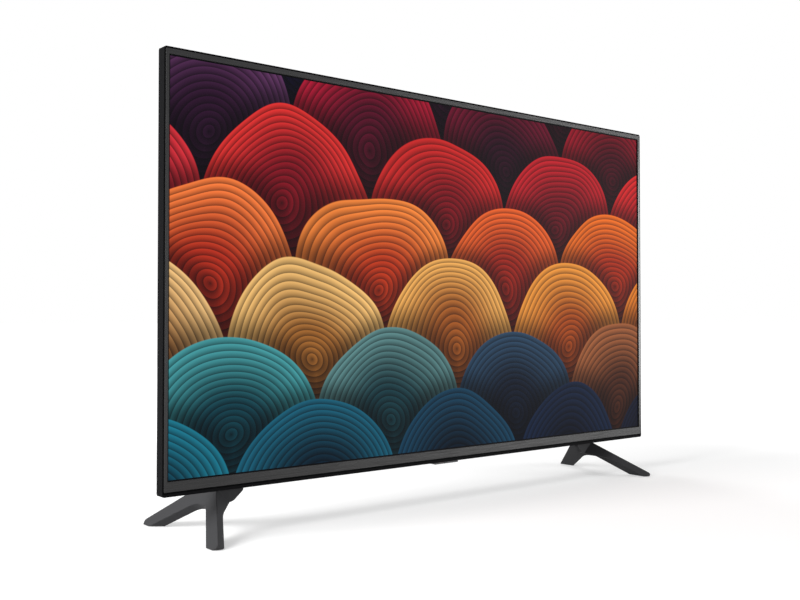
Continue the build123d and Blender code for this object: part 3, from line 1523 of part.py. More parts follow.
def make_feet():
    sole_x = -foot_top_x - (cover_bottom - pad_proud) * foot_spread
    flange_x = -foot_top_x + flange_reach
    face = Plane(origin=(-foot_top_x, 0, cover_bottom), x_dir=(0, 1, 0),
                 z_dir=(-cos(foot_tilt), 0, sin(foot_tilt)))
    toe = foot_length - toe_height
    front = [(behind(leg_front_top - neck_draft), -flange_neck),
             (behind(leg_front_top), leg_front_drop),
             (behind(-foot_front_reach), toe)]
    low_x, low_z = leg_inner(gusset_leg_end)
    with BuildPart() as gusset:
        with BuildSketch(Plane.XZ):
            with BuildLine():
                FilletPolyline((low_x, low_z), leg_inner(gusset_leg_drop),
                               (-foot_top_x + gusset_reach, cover_bottom - gusset_drop),
                               (flange_x, cover_bottom - gusset_end_drop), (flange_x, cover_bottom),
                               (-foot_top_x + gusset_bury, cover_bottom), (low_x - gusset_bury, low_z),
                               radius=[0, web_round, gusset_round, flange_round, 0, 0, 0], close=True)
            make_face()
        extrude(amount=foot_front_reach + foot_rear_reach, both=True)
        with BuildSketch(face) as band:
            with BuildLine():
                Polyline(*front, *[(depth + gusset_depth, drop) for depth, drop in reversed(front)],
                         close=True)
            make_face()
        extrude(band.sketch, amount=-(foot_span + flange_reach), mode=Mode.INTERSECT)
    with BuildPart() as foot:
        with BuildSketch(Plane.XZ):
            with BuildLine():
                Polyline((flange_x, cover_bottom), (-foot_top_x, cover_bottom), (sole_x, pad_proud),
                         (sole_x + foot_span, pad_proud))
                FilletPolyline((sole_x + foot_span, pad_proud), leg_inner(flange_thickness),
                               (flange_x, flange_low), (flange_x, cover_bottom),
                               radius=[web_round, flange_round])
            make_face()
        extrude(amount=foot_front_reach + foot_rear_reach, both=True)
        with BuildSketch(face) as outline:
            with BuildLine():
                FilletPolyline(
                    *front,
                    (behind(-foot_front_reach), toe + toe_side),
                    (behind(toe_rake - foot_front_reach), foot_length),
                    (behind(front_sole - foot_front_reach), foot_length),
                    (behind(arch_front), arch_drop),
                    (behind(arch_rear), arch_drop),
                    (behind(foot_rear_reach - rear_sole), foot_length),
                    (behind(foot_rear_reach - toe_rake), foot_length),
                    (behind(foot_rear_reach), toe + toe_side),
                    (behind(foot_rear_reach), toe),
                    (behind(leg_rear_top), 0),
                    (behind(leg_rear_top), -flange_neck),
                    radius=[neck_round, toe_round, toe_round, 0, heel_round, arch_front_round, arch_rear_round,
                            heel_round, 0, toe_round, toe_round, neck_round])
                Line((behind(leg_rear_top), -flange_neck), (behind(leg_front_top - neck_draft), -flange_neck))
            make_face()
        extrude(outline.sketch, amount=-(foot_span + flange_reach), mode=Mode.INTERSECT)
        outer = foot.faces().sort_by(Axis((0, 0, 0), tuple(face.z_dir)))[-1]
        fillet(outer.edges().filter_by(Axis.Y, reverse=True), foot_edge_round)
        add(gusset.part)
        with Locations(*foot_screw_planes(cover_bottom, -1)):
            Cylinder(foot_screw_radius + screw_gap, 2 * (flange_thickness + overrun), mode=Mode.SUBTRACT)
        with Locations(*foot_screw_planes(flange_low + foot_screw_well, -1)):
            Cylinder(foot_head_radius + screw_gap, foot_screw_well + flange_thickness,
                     align=(Align.CENTER, Align.CENTER, Align.MIN), mode=Mode.SUBTRACT)
        with BuildSketch(Plane.XY.offset(pad_proud)) as pockets:
            with Locations(*[(-pad_x, behind(depth)) for depth in pad_depths]):
                RectangleRounded(pad_width, pad_length, pad_round)
        extrude(pockets.sketch, amount=pad_height - pad_proud, mode=Mode.SUBTRACT)
    foot.part.label = "left_foot"
    export_step(foot.part, "parts/left_foot.step")
    with BuildPart() as right:
        add(mirror(foot.part, about=Plane.YZ, mode=Mode.PRIVATE))
    right.part.label = "right_foot"
    export_step(right.part, "parts/right_foot.step")


def make_foot_pads():
    with BuildPart() as pads:
        with BuildSketch(Plane.XY):
            with Locations(*[(side * pad_x, behind(depth)) for side in (-1, 1) for depth in pad_depths]):
                RectangleRounded(pad_width, pad_length, pad_round)
        extrude(amount=pad_height)
    pads.part.label = "foot_pads"
    export_step(pads.part, "parts/foot_pads.step")


def make_foot_screws():
    planes = []
    for side in (-1, 1):
        planes += foot_screw_planes(flange_low + foot_screw_well, side)
    with BuildPart() as screws:
        screws_on(planes, foot_screw_radius, foot_screw_length, foot_head_radius, foot_head_height)
    screws.part.label = "foot_screws"
    export_step(screws.part, "parts/foot_screws.step")


os.makedirs("parts", exist_ok=True)
make_front_bezel()
make_mid_frame()
make_bezel_gasket()
make_lcd_cell()
make_source_boards()
make_source_flexes()
make_optical_films()
make_diffuser_plate()
make_diffuser_pegs()
make_reflector_sheet()
make_led_strips()
make_led_chips()
make_led_lenses()
make_back_tray()
make_frame_screws()
make_rear_cover()
make_rear_cover_screws()
make_vesa_posts()
make_board_posts()
make_board_screws()
make_boards()
make_main_chips()
make_main_heat_sink()
make_ports()
make_antenna_input()
make_audio_sockets()
make_power_transformers()
make_power_capacitors()
make_power_heat_sinks()
make_ac_inlet()
make_board_plugs()
make_panel_ribbons()
make_cables()
make_speaker_box(-1, "left_speaker_box")
make_speaker_box(1, "right_speaker_box")
make_speaker_bushes()
make_speaker_driver(-1, "left")
make_speaker_driver(1, "right")
make_sensor_housing()
make_sensor_window()
make_power_button()
make_key_board()
make_stand_brackets()
make_feet()
make_foot_pads()
make_foot_screws()
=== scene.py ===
"""The looks of a flat screen television: its finishes, its picture and its small trim.

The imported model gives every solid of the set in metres, with +Z up, the screen facing -Y and the
floor at Z = 0. Each sub-assembly below is a class that dresses its solids, and models the small
pieces that only show close up, such as the dust mesh behind the air slots. The studio at the end
holds the camera, the lamps and the floor.
"""

from __future__ import annotations

import logging
import math
from abc import ABC, abstractmethod
from dataclasses import dataclass, field
from enum import Enum
from typing import Callable, ClassVar, Iterable, Sequence, Union

import bpy
from mathutils import Euler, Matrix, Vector

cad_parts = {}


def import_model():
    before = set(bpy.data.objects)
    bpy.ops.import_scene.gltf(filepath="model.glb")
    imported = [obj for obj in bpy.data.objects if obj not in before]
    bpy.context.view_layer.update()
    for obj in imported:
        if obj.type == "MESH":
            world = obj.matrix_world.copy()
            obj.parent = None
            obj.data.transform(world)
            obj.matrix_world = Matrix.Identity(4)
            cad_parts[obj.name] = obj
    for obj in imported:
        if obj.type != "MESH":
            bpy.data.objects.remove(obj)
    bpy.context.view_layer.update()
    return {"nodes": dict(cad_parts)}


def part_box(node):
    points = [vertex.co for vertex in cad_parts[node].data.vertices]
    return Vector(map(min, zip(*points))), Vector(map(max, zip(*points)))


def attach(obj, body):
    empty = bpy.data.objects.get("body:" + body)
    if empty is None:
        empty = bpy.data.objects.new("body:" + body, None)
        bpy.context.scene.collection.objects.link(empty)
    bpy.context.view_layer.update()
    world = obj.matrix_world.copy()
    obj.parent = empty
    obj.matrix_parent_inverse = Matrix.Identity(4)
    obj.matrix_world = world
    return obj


logging.basicConfig(level=logging.INFO, format="%(name)s: %(message)s")
log = logging.getLogger("television")

Colour = tuple[float, float, float]
Point = tuple[float, float, float]
Number = Union[float, "Value"]

TELEVISION = "television"

WHITE: Colour = (1.0, 1.0, 1.0)
BLACK: Colour = (0.0, 0.0, 0.0)
# A display's brightness curve: straight in its darkest part, and a power above it
DISPLAY_LEVELS = 255
STRAIGHT_END = 0.04045
STRAIGHT_SLOPE = 12.92
CURVE_OFFSET = 0.055
CURVE_POWER = 2.4
NOISE_MIDDLE = 0.5
COVER_WALL = 0.0022
WELD_DISTANCE = 0.00001
ROUND_ANGLE = math.radians(35.0)
UPRIGHT: Point = (math.pi / 2, 0, 0)
FLAT: Point = (0.0, 0.0, 0.0)


def shade(red: int, green: int, blue: int) -> Colour:
    """Turns a colour as it looks on a display into the light it stands for.

    Args:
        red: Red from 0 to 255.
        green: Green from 0 to 255.
        blue: Blue from 0 to 255.

    Returns:
        The linear colour that Blender's sockets take.
    """
    def light(level: int) -> float:
        """Gives one channel's light."""
        part = level / DISPLAY_LEVELS
        if part <= STRAIGHT_END:
            return part / STRAIGHT_SLOPE
        return ((part + CURVE_OFFSET) / (1 + CURVE_OFFSET)) ** CURVE_POWER

    return light(red), light(green), light(blue)


def toned(colour: Colour, factor: float) -> Colour:
    """Makes a colour darker or paler.

    Args:
        colour: The colour.
        factor: Its light's factor, under 1 for darker.

    Returns:
        The toned colour.
    """
    return tuple(part * factor for part in colour)


# Shader maths

class Value:
    """A number that changes over a surface, written in Python maths."""

    def __init__(self, graph: "Graph", socket: bpy.types.NodeSocket) -> None:
        """Wraps a socket.

        Args:
            graph: The graph that holds the socket's node.
            socket: The output socket that carries the number.
        """
        self.graph = graph
        self.socket = socket

    def math(self, operation: str, *others: Number) -> "Value":
        """Adds one Math node.

        Args:
            operation: Blender's name of the operation.
            others: The numbers or values that follow this one.

        Returns:
            The node's result.
        """
        return self.graph.math(operation, self, *others)

    def __add__(self, other: Number) -> "Value":
        """Adds."""
        return self.math("ADD", other)

    def __radd__(self, other: float) -> "Value":
        """Adds to a plain number."""
        return self.graph.math("ADD", other, self)

    def __sub__(self, other: Number) -> "Value":
        """Subtracts."""
        return self.math("SUBTRACT", other)

    def __rsub__(self, other: float) -> "Value":
        """Subtracts from a plain number."""
        return self.graph.math("SUBTRACT", other, self)

    def __mul__(self, other: Number) -> "Value":
        """Multiplies."""
        return self.math("MULTIPLY", other)

    def __rmul__(self, other: float) -> "Value":
        """Multiplies a plain number."""
        return self.graph.math("MULTIPLY", other, self)

    def __truediv__(self, other: Number) -> "Value":
        """Divides."""
        return self.math("DIVIDE", other)

    def __rtruediv__(self, other: float) -> "Value":
        """Divides a plain number."""
        return self.graph.math("DIVIDE", other, self)

    def __pow__(self, power: float) -> "Value":
        """Raises to a power."""
        return self.math("POWER", power)

    def __abs__(self) -> "Value":
        """Drops the sign."""
        return self.math("ABSOLUTE")

    def above(self, limit: float) -> "Value":
        """Gives 1 over the limit and 0 under it."""
        return self.math("GREATER_THAN", limit)

    def cycle(self) -> "Value":
        """Gives what is left over a whole number, so that it starts again at each one."""
        return self.math("FRACT")

    def sine(self) -> "Value":
        """Gives the sine."""
        return self.math("SINE")

    def most(self, other: Number) -> "Value":
        """Gives the larger of two."""
        return self.math("MAXIMUM", other)

    def swing(self, size: float) -> "Value":
        """Gives how far a noise lies from its middle, times a size."""
        return (self - NOISE_MIDDLE) * size

    def rise(self, low: float, high: float) -> "Value":
        """Rises smoothly from 0 to 1.

        Args:
            low: Where it leaves 0.
            high: Where it reaches 1.

        Returns:
            The eased value.
        """
        node = self.graph.node("ShaderNodeMapRange", {"interpolation_type": "SMOOTHSTEP"},
                               {"Value": self, "From Min": low, "From Max": high})
        return Value(self.graph, node.outputs["Result"])


class Graph:
    """The nodes of one material or of the world."""

    def __init__(self, tree: bpy.types.NodeTree) -> None:
        """Empties a node tree and keeps it.

        Args:
            tree: The tree that the nodes go into.
        """
        self.tree = tree
        self.tree.nodes.clear()
        self._axes: tuple[Value, Value, Value] | None = None
        self._place: bpy.types.NodeSocket | None = None

    def node(self, kind: str, settings: dict[str, object] | None = None,
             inputs: dict[str | int, object] | None = None) -> bpy.types.Node:
        """Adds one node of any type.

        Args:
            kind: The node's type name.
            settings: Its own settings, set before its sockets. A ramp's stops are pairs of a
                place and a colour.
            inputs: Numbers, colours or links for its sockets, by name or number.

        Returns:
            The new node.
        """
        new = self.tree.nodes.new(kind)
        for name, setting in (settings or {}).items():
            if name == "stops":
                self._set_stops(new.color_ramp, setting)
            else:
                setattr(new, name, setting)
        for name, given in (inputs or {}).items():
            self._feed(new.inputs[name], given)
        return new

    def _feed(self, socket: bpy.types.NodeSocket, given: object) -> None:
        """Links a socket or sets its own value.

        Args:
            socket: The input socket.
            given: A number, a colour, a value or another node's output.
        """
        if isinstance(given, Value):
            given = given.socket
        if isinstance(given, bpy.types.NodeSocket):
            self.tree.links.new(given, socket)
        elif socket.type == "RGBA":
            socket.default_value = (*given, 1.0)
        else:
            socket.default_value = given

    @staticmethod
    def _set_stops(ramp: bpy.types.ColorRamp, stops: Sequence[tuple[float, Colour]]) -> None:
        """Gives a ramp its stops.

        Args:
            ramp: The ramp to set.
            stops: Pairs of a place from 0 to 1 and a colour.
        """
        while len(ramp.elements) < len(stops):
            ramp.elements.new(1.0)
        for element, (place, colour) in zip(ramp.elements, stops):
            element.position = place
            element.color = (*colour, 1.0)

    def math(self, operation: str, *numbers: Number) -> Value:
        """Adds a Math node.

        Args:
            operation: Blender's name of the operation.
            numbers: Its numbers or values, in order.

        Returns:
            The result.
        """
        node = self.node("ShaderNodeMath", {"operation": operation}, dict(enumerate(numbers)))
        return Value(self, node.outputs[0])

    def place(self) -> bpy.types.NodeSocket:
        """Gives the object's own coordinates in metres."""
        if self._place is None:
            self._place = self.node("ShaderNodeTexCoord").outputs["Object"]
        return self._place

    def axes(self) -> tuple[Value, Value, Value]:
        """Gives the X, Y and Z coordinates apart."""
        if self._axes is None:
            apart = self.node("ShaderNodeSeparateXYZ", None, {0: self.place()})
            self._axes = tuple(Value(self, output) for output in apart.outputs)
        return self._axes

    def stretched(self, scale: Point) -> bpy.types.NodeSocket:
        """Gives the coordinates scaled on each axis, for streaks and grain.

        Args:
            scale: The factor on each axis.

        Returns:
            The scaled coordinates.
        """
        return self.node("ShaderNodeMapping", None,
                         {"Vector": self.place(), "Scale": scale}).outputs["Vector"]

    def noise(self, scale: float, detail: float = 2.0, stretch: Point | None = None) -> Value:
        """Gives soft noise from 0 to 1.

        Args:
            scale: Features per metre.
            detail: How many finer layers it has.
            stretch: A factor on each axis, where the noise is drawn out.

        Returns:
            The noise.
        """
        vector = self.place() if stretch is None else self.stretched(stretch)
        node = self.node("ShaderNodeTexNoise", None,
                         {"Vector": vector, "Scale": scale, "Detail": detail})
        return Value(self, node.outputs["Fac"])

    def patches(self, scale: float, start: float) -> Value:
        """Gives 1 in soft patches and 0 between them.

        Args:
            scale: Patches per metre.
            start: The noise at which a patch starts.

        Returns:
            The patches.
        """
        return self.noise(scale, 1.0).above(start)

    def cells(self, scale: float, output: str = "Distance") -> Value:
        """Gives a pattern of cells.

        Args:
            scale: Cells per metre.
            output: The output of the Voronoi node that is read.

        Returns:
            The pattern.
        """
        node = self.node("ShaderNodeTexVoronoi", None, {"Vector": self.place(), "Scale": scale})
        return Value(self, node.outputs[output])

    def ramp(self, value: Value, stops: Sequence[tuple[float, Colour]]) -> bpy.types.NodeSocket:
        """Turns a value into colours.

        Args:
            value: The value, from 0 to 1.
            stops: Pairs of a place and a colour.

        Returns:
            The colour.
        """
        return self.node("ShaderNodeValToRGB", {"stops": stops}, {"Fac": value}).outputs["Color"]

    def mix(self, share: Value, first: object, second: object) -> bpy.types.NodeSocket:
        """Mixes two colours.

        Args:
            share: How much of the second shows.
            first: The first colour or link.
            second: The second colour or link.

        Returns:
            The mixed colour.
        """
        factor, one, other, mixed = 0, 6, 7, 2
        return self.node("ShaderNodeMix", {"data_type": "RGBA"},
                         {factor: share, one: first, other: second}).outputs[mixed]

    def dim(self, colour: bpy.types.NodeSocket, by: Value) -> bpy.types.NodeSocket:
        """Scales a colour's light.

        Args:
            colour: The colour to scale.
            by: The factor.

        Returns:
            The scaled colour.
        """
        return self.node("ShaderNodeVectorMath", {"operation": "SCALE"},
                         {0: colour, "Scale": by}).outputs[0]

    def bump(self, height: Value, depth: float) -> bpy.types.NodeSocket:
        """Turns a height into a surface relief.

        Args:
            height: The height from 0 to 1.
            depth: The depth of the relief in metres.

        Returns:
            The normal.
        """
        return self.node("ShaderNodeBump", None,
                         {"Height": height, "Distance": depth, "Strength": 1.0}).outputs["Normal"]

    def backdrop_rays(self) -> Value:
        """Gives 1 to what the camera sees, straight or in metal and glass, and 0 to the light."""
        rays = self.node("ShaderNodeLightPath").outputs
        seen = Value(self, rays["Is Camera Ray"])
        for kind in ("Is Glossy Ray", "Is Transmission Ray"):
            seen = seen.most(Value(self, rays[kind]))
        return seen

    def surface(self, inputs: dict[str, object]) -> None:
        """Ends a material in its main shader.

        Args:
            inputs: Numbers, colours or links for the shader's sockets.
        """
        shader = self.node("ShaderNodeBsdfPrincipled", None, inputs)
        self.node("ShaderNodeOutputMaterial", None, {"Surface": shader.outputs["BSDF"]})


# Finishes

@dataclass(frozen=True)
class Finish(ABC):
    """One finish of the set, made into a material once."""

    name: str

    def material(self) -> bpy.types.Material:
        """Makes the material, or gives the one made before.

        Returns:
            The material.
        """
        title = f"{self.name} finish"
        if title in bpy.data.materials:
            return bpy.data.materials[title]
        made = bpy.data.materials.new(title)
        made.use_nodes = True
        self.build(Graph(made.node_tree))
        return made

    @abstractmethod
    def build(self, graph: Graph) -> None:
        """Lays the finish's nodes into a graph.

        Args:
            graph: The empty graph.
        """


class Grain(Enum):
    """How fine a moulded surface is, as features per metre and depth in metres."""

    POLISHED = (700.0, 0.000004)
    SATIN = (1600.0, 0.000012)
    FINE = (1100.0, 0.00003)
    SPARK = (700.0, 0.00006)


@dataclass(frozen=True)
class MouldedPlastic(Finish):
    """Moulded plastic with a fine grain, slight clouding and uneven gloss."""

    colour: Colour
    roughness: float = 0.42
    gloss: float = 0.4
    grain: Grain = Grain.SATIN
    clouding: float = 0.1
    coat: float = 0.0
    coat_roughness: float = 0.12
    cloud_scale: float = 7.0
    cloud_share: float = 0.6
    pore_swing: float = 0.12
    cloud_swing: float = 0.08

    def build(self, graph: Graph) -> None:
        """Lays the plastic's nodes.

        Args:
            graph: The empty graph.
        """
        scale, depth = self.grain.value
        pores = graph.noise(scale, 3.0)
        cloud = graph.noise(self.cloud_scale)
        tint = graph.mix(cloud * self.cloud_share + pores * (1 - self.cloud_share),
                         toned(self.colour, 1 - self.clouding),
                         toned(self.colour, 1 + self.clouding))
        uneven = self.roughness + pores.swing(self.pore_swing) + cloud.swing(self.cloud_swing)
        graph.surface({"Base Color": tint, "Roughness": uneven,
                       "Specular IOR Level": self.gloss, "Coat Weight": self.coat,
                       "Coat Roughness": self.coat_roughness,
                       "Normal": graph.bump(pores, depth)})


@dataclass(frozen=True)
class HairlinePlastic(Finish):
    """Plastic with fine hairlines that run along each rail of a frame and meet in its corners."""

    colour: Colour
    roughness: float
    gloss: float
    half_width: float
    middle: float
    half_height: float
    per_metre: float = 1300.0
    drawn: float = 0.02
    depth: float = 0.000004
    dark: float = 0.6
    pale: float = 1.5
    line_share: float = 0.8
    line_swing: float = 0.3
    cloud_scale: float = 7.0
    cloud_swing: float = 0.05

    def build(self, graph: Graph) -> None:
        """Lays the plastic's nodes.

        Args:
            graph: The empty graph.
        """
        across, _, up = graph.axes()
        beyond_side = abs(across) - self.half_width
        beyond_end = abs(up - self.middle) - self.half_height
        upright = (beyond_side - beyond_end).above(0.0)
        level_lines = graph.noise(self.per_metre, 3.0, (self.drawn, 1.0, 1.0))
        upright_lines = graph.noise(self.per_metre, 3.0, (1.0, 1.0, self.drawn))
        lines = level_lines * (1 - upright) + upright_lines * upright
        cloud = graph.noise(self.cloud_scale)
        tint = graph.mix(lines * self.line_share + cloud * (1 - self.line_share),
                         toned(self.colour, self.dark), toned(self.colour, self.pale))
        uneven = self.roughness + lines.swing(self.line_swing) + cloud.swing(self.cloud_swing)
        graph.surface({"Base Color": tint, "Roughness": uneven, "Specular IOR Level": self.gloss,
                       "Normal": graph.bump(lines, self.depth)})


@dataclass(frozen=True)
class Rubber(Finish):
    """Dull rubber or cable sleeve with a soft, slightly dusty skin."""

    colour: Colour
    roughness: float = 0.8
    gloss: float = 0.3
    skin_scale: float = 2400.0
    skin_depth: float = 0.00004
    skin_swing: float = 0.2
    bloom_scale: float = 45.0
    bloom_edge: tuple[float, float] = (0.45, 0.75)
    bloom_share: float = 0.5
    dust_factor: float = 1.7
    dust_lift: float = 0.004

    def build(self, graph: Graph) -> None:
        """Lays the rubber's nodes.

        Args:
            graph: The empty graph.
        """
        skin = graph.noise(self.skin_scale, 3.0)
        bloom = graph.noise(self.bloom_scale, 3.0).rise(*self.bloom_edge)
        dusty = tuple(part * self.dust_factor + self.dust_lift for part in self.colour)
        graph.surface({"Base Color": graph.mix(bloom * self.bloom_share, self.colour, dusty),
                       "Roughness": self.roughness - skin.swing(self.skin_swing),
                       "Specular IOR Level": self.gloss,
                       "Normal": graph.bump(skin, self.skin_depth)})


@dataclass(frozen=True)
class SheetSteel(Finish):
    """Zinc coated or blackened steel, with the spangle or the rolling lines of its coat."""

    colour: Colour
    roughness: float = 0.38
    spangle: float = 0.25
    metal: float = 1.0
    crystals_per_metre: float = 110.0
    crystal_share: float = 0.7
    crystal_swing: float = 0.16
    line_scale: float = 60.0
    line_stretch: Point = (1.0, 1.0, 30.0)
    line_swing: float = 0.1
    line_depth: float = 0.00002

    def build(self, graph: Graph) -> None:
        """Lays the steel's nodes.

        Args:
            graph: The empty graph.
        """
        crystals = graph.cells(self.crystals_per_metre, "Color")
        lines = graph.noise(self.line_scale, 4.0, self.line_stretch)
        tint = graph.mix(crystals * self.crystal_share + lines * (1 - self.crystal_share),
                         toned(self.colour, 1 - self.spangle), self.colour)
        uneven = self.roughness + crystals.swing(self.crystal_swing)
        graph.surface({"Base Color": tint, "Roughness": uneven + lines.swing(self.line_swing),
                       "Metallic": self.metal, "Normal": graph.bump(lines, self.line_depth)})


@dataclass(frozen=True)
class DrawnMetal(Finish):
    """Extruded aluminium or nickel plate with fine draw lines."""

    colour: Colour
    roughness: float = 0.3
    stretch: Point = (1.0, 40.0, 1.0)
    line_scale: float = 90.0
    line_share: float = 0.6
    line_swing: float = 0.25
    line_depth: float = 0.00003
    stain_scale: float = 35.0
    stain: float = 0.8

    def build(self, graph: Graph) -> None:
        """Lays the metal's nodes.

        Args:
            graph: The empty graph.
        """
        lines = graph.noise(self.line_scale, 5.0, self.stretch)
        stains = graph.noise(self.stain_scale, 3.0)
        tint = graph.mix(lines * self.line_share + stains * (1 - self.line_share),
                         toned(self.colour, self.stain), self.colour)
        graph.surface({"Base Color": tint, "Metallic": 1.0,
                       "Roughness": self.roughness + lines.swing(self.line_swing),
                       "Normal": graph.bump(lines, self.line_depth)})


@dataclass(frozen=True)
class CircuitBoard(Finish):
    """A lacquered board with copper tracks under the lacquer and tinned pads on it."""

    lacquer: Colour = (0.012, 0.11, 0.04)
    copper: Colour = (0.03, 0.2, 0.075)
    tin: Colour = (0.55, 0.56, 0.55)
    track_pitch: float = 0.0016
    track_start: float = 0.55
    regions_per_metre: float = 45.0
    track_patches: tuple[float, float] = (60.0, 0.42)
    pads_per_metre: float = 330.0
    pad_radius: float = 0.26
    tin_patches: tuple[float, float] = (28.0, 0.56)
    roughness: float = 0.34
    tin_polish: float = 0.08
    depth: float = 0.00008

    def build(self, graph: Graph) -> None:
        """Lays the board's nodes.

        Args:
            graph: The empty graph.
        """
        across, _, up = graph.axes()
        along = graph.cells(self.regions_per_metre, "Color").above(0.5)
        level = (up / self.track_pitch).cycle().above(self.track_start) * along
        upright = (across / self.track_pitch).cycle().above(self.track_start) * (1 - along)
        tracks = (level + upright) * graph.patches(*self.track_patches)
        pads = 1 - graph.cells(self.pads_per_metre).above(self.pad_radius)
        bare = pads * graph.patches(*self.tin_patches)
        tint = graph.mix(bare, graph.mix(tracks, self.lacquer, self.copper), self.tin)
        graph.surface({"Base Color": tint, "Roughness": self.roughness - bare * self.tin_polish,
                       "Metallic": bare, "Specular IOR Level": 0.5,
                       "Normal": graph.bump(tracks * 0.5 + bare, self.depth)})


@dataclass(frozen=True)
class Ribbon(Finish):
    """A flat cable or film circuit, with its conductors showing as fine lines."""

    colour: Colour
    line: Colour
    pitch: float = 0.001
    wire_edge: tuple[float, float] = (0.35, 0.5)
    skin_scale: float = 300.0
    roughness: float = 0.4
    unevenness: float = 0.1
    depth: float = 0.00008

    def build(self, graph: Graph) -> None:
        """Lays the ribbon's nodes.

        Args:
            graph: The empty graph.
        """
        across = graph.axes()[0]
        wires = (across / self.pitch).cycle().rise(*self.wire_edge)
        graph.surface({"Base Color": graph.mix(wires, self.colour, self.line),
                       "Roughness": self.roughness
                       + graph.noise(self.skin_scale) * self.unevenness,
                       "Normal": graph.bump(wires, self.depth)})


@dataclass(frozen=True)
class PressedSheet(Finish):
    """Film, pressed plastic sheet or painted strip, with a faint pearl in it."""

    colour: Colour
    roughness: float = 0.5
    alpha: float = 1.0
    pearl_scale: float = 900.0
    pearl_share: float = 0.5
    pearl_swing: float = 0.15
    pearl_depth: float = 0.00002
    cloud_scale: float = 9.0
    dull: float = 0.93

    def build(self, graph: Graph) -> None:
        """Lays the sheet's nodes.

        Args:
            graph: The empty graph.
        """
        pearl = graph.noise(self.pearl_scale)
        cloud = graph.noise(self.cloud_scale)
        tint = graph.mix(cloud * (1 - self.pearl_share) + pearl * self.pearl_share,
                         toned(self.colour, self.dull), self.colour)
        graph.surface({"Base Color": tint, "Alpha": self.alpha,
                       "Roughness": self.roughness + pearl.swing(self.pearl_swing),
                       "Normal": graph.bump(pearl, self.pearl_depth)})


@dataclass(frozen=True)
class Sleeve(Finish):
    """The shrink sleeve of a capacitor, with its paler stripes and its fine wrinkles."""

    colour: Colour
    stripe: Colour = (0.35, 0.36, 0.4)
    stripe_pitch: float = 0.009
    stripe_start: float = 0.86
    roughness: float = 0.28
    gloss: float = 0.55
    wrinkle_scale: float = 260.0
    wrinkle_unevenness: float = 0.14
    wrinkle_depth: float = 0.00006

    def build(self, graph: Graph) -> None:
        """Lays the sleeve's nodes.

        Args:
            graph: The empty graph.
        """
        across = graph.axes()[0]
        stripes = (across / self.stripe_pitch).cycle().above(self.stripe_start)
        wrinkle = graph.noise(self.wrinkle_scale, 3.0)
        graph.surface({"Base Color": graph.mix(stripes, self.colour, self.stripe),
                       "Roughness": self.roughness + wrinkle * self.wrinkle_unevenness,
                       "Specular IOR Level": self.gloss,
                       "Normal": graph.bump(wrinkle, self.wrinkle_depth)})


@dataclass(frozen=True)
class PulpPaper(Finish):
    """The pressed paper of a loudspeaker cone, with its fibres and its rings."""

    colour: Colour
    pale: float = 1.8
    roughness: float = 0.9
    gloss: float = 0.2
    fibre_scale: float = 900.0
    fibre_edge: tuple[float, float] = (0.4, 0.7)
    fibre_polish: float = 0.15
    fibre_share: float = 0.6
    ring_pitch: float = 0.0012
    ring_edge: tuple[float, float] = (0.3, 0.7)
    depth: float = 0.00015

    def build(self, graph: Graph) -> None:
        """Lays the paper's nodes.

        Args:
            graph: The empty graph.
        """
        fibres = graph.noise(self.fibre_scale, 5.0)
        up = graph.axes()[2]
        rings = (up / self.ring_pitch).cycle().rise(*self.ring_edge)
        relief = fibres * self.fibre_share + rings * (1 - self.fibre_share)
        tint = graph.mix(fibres.rise(*self.fibre_edge), self.colour,
                         toned(self.colour, self.pale))
        graph.surface({"Base Color": tint, "Specular IOR Level": self.gloss,
                       "Roughness": self.roughness - fibres * self.fibre_polish,
                       "Normal": graph.bump(relief, self.depth)})


@dataclass(frozen=True)
class WovenMesh(Finish):
    """A fine woven cloth or wire mesh, with painted shade darkening the gaps between its threads,
    where its holes are.
    """

    colour: Colour
    pitch: float = 0.0009
    gap_edge: tuple[float, float] = (0.35, 0.6)
    gap_shade: float = 0.2
    roughness: float = 0.75
    hole_roughness: float = 0.2
    gloss: float = 0.25
    depth: float = 0.0002

    def build(self, graph: Graph) -> None:
        """Lays the weave's nodes.

        Args:
            graph: The empty graph.
        """
        across, back, up = graph.axes()
        warp = (across / self.pitch * math.tau).sine() * 0.5 + 0.5
        weft = ((up + back) / self.pitch * math.tau).sine() * 0.5 + 0.5
        threads = warp.most(weft)
        gaps = 1 - threads.rise(*self.gap_edge)
        # Painted shade: the gaps between the threads are darkened in the base colour, standing in
        # for the shade seen through the holes.
        graph.surface({"Base Color": graph.mix(gaps, self.colour, toned(self.colour, self.gap_shade)),
                       "Roughness": self.roughness + gaps * self.hole_roughness,
                       "Specular IOR Level": self.gloss,
                       "Normal": graph.bump(threads, self.depth)})


@dataclass(frozen=True)
class FanRow:
    """One row of round fans across the picture, with their colours from left to right."""

    up: float
    start: float
    hearts: tuple[Colour, ...]
    rims: tuple[Colour, ...]


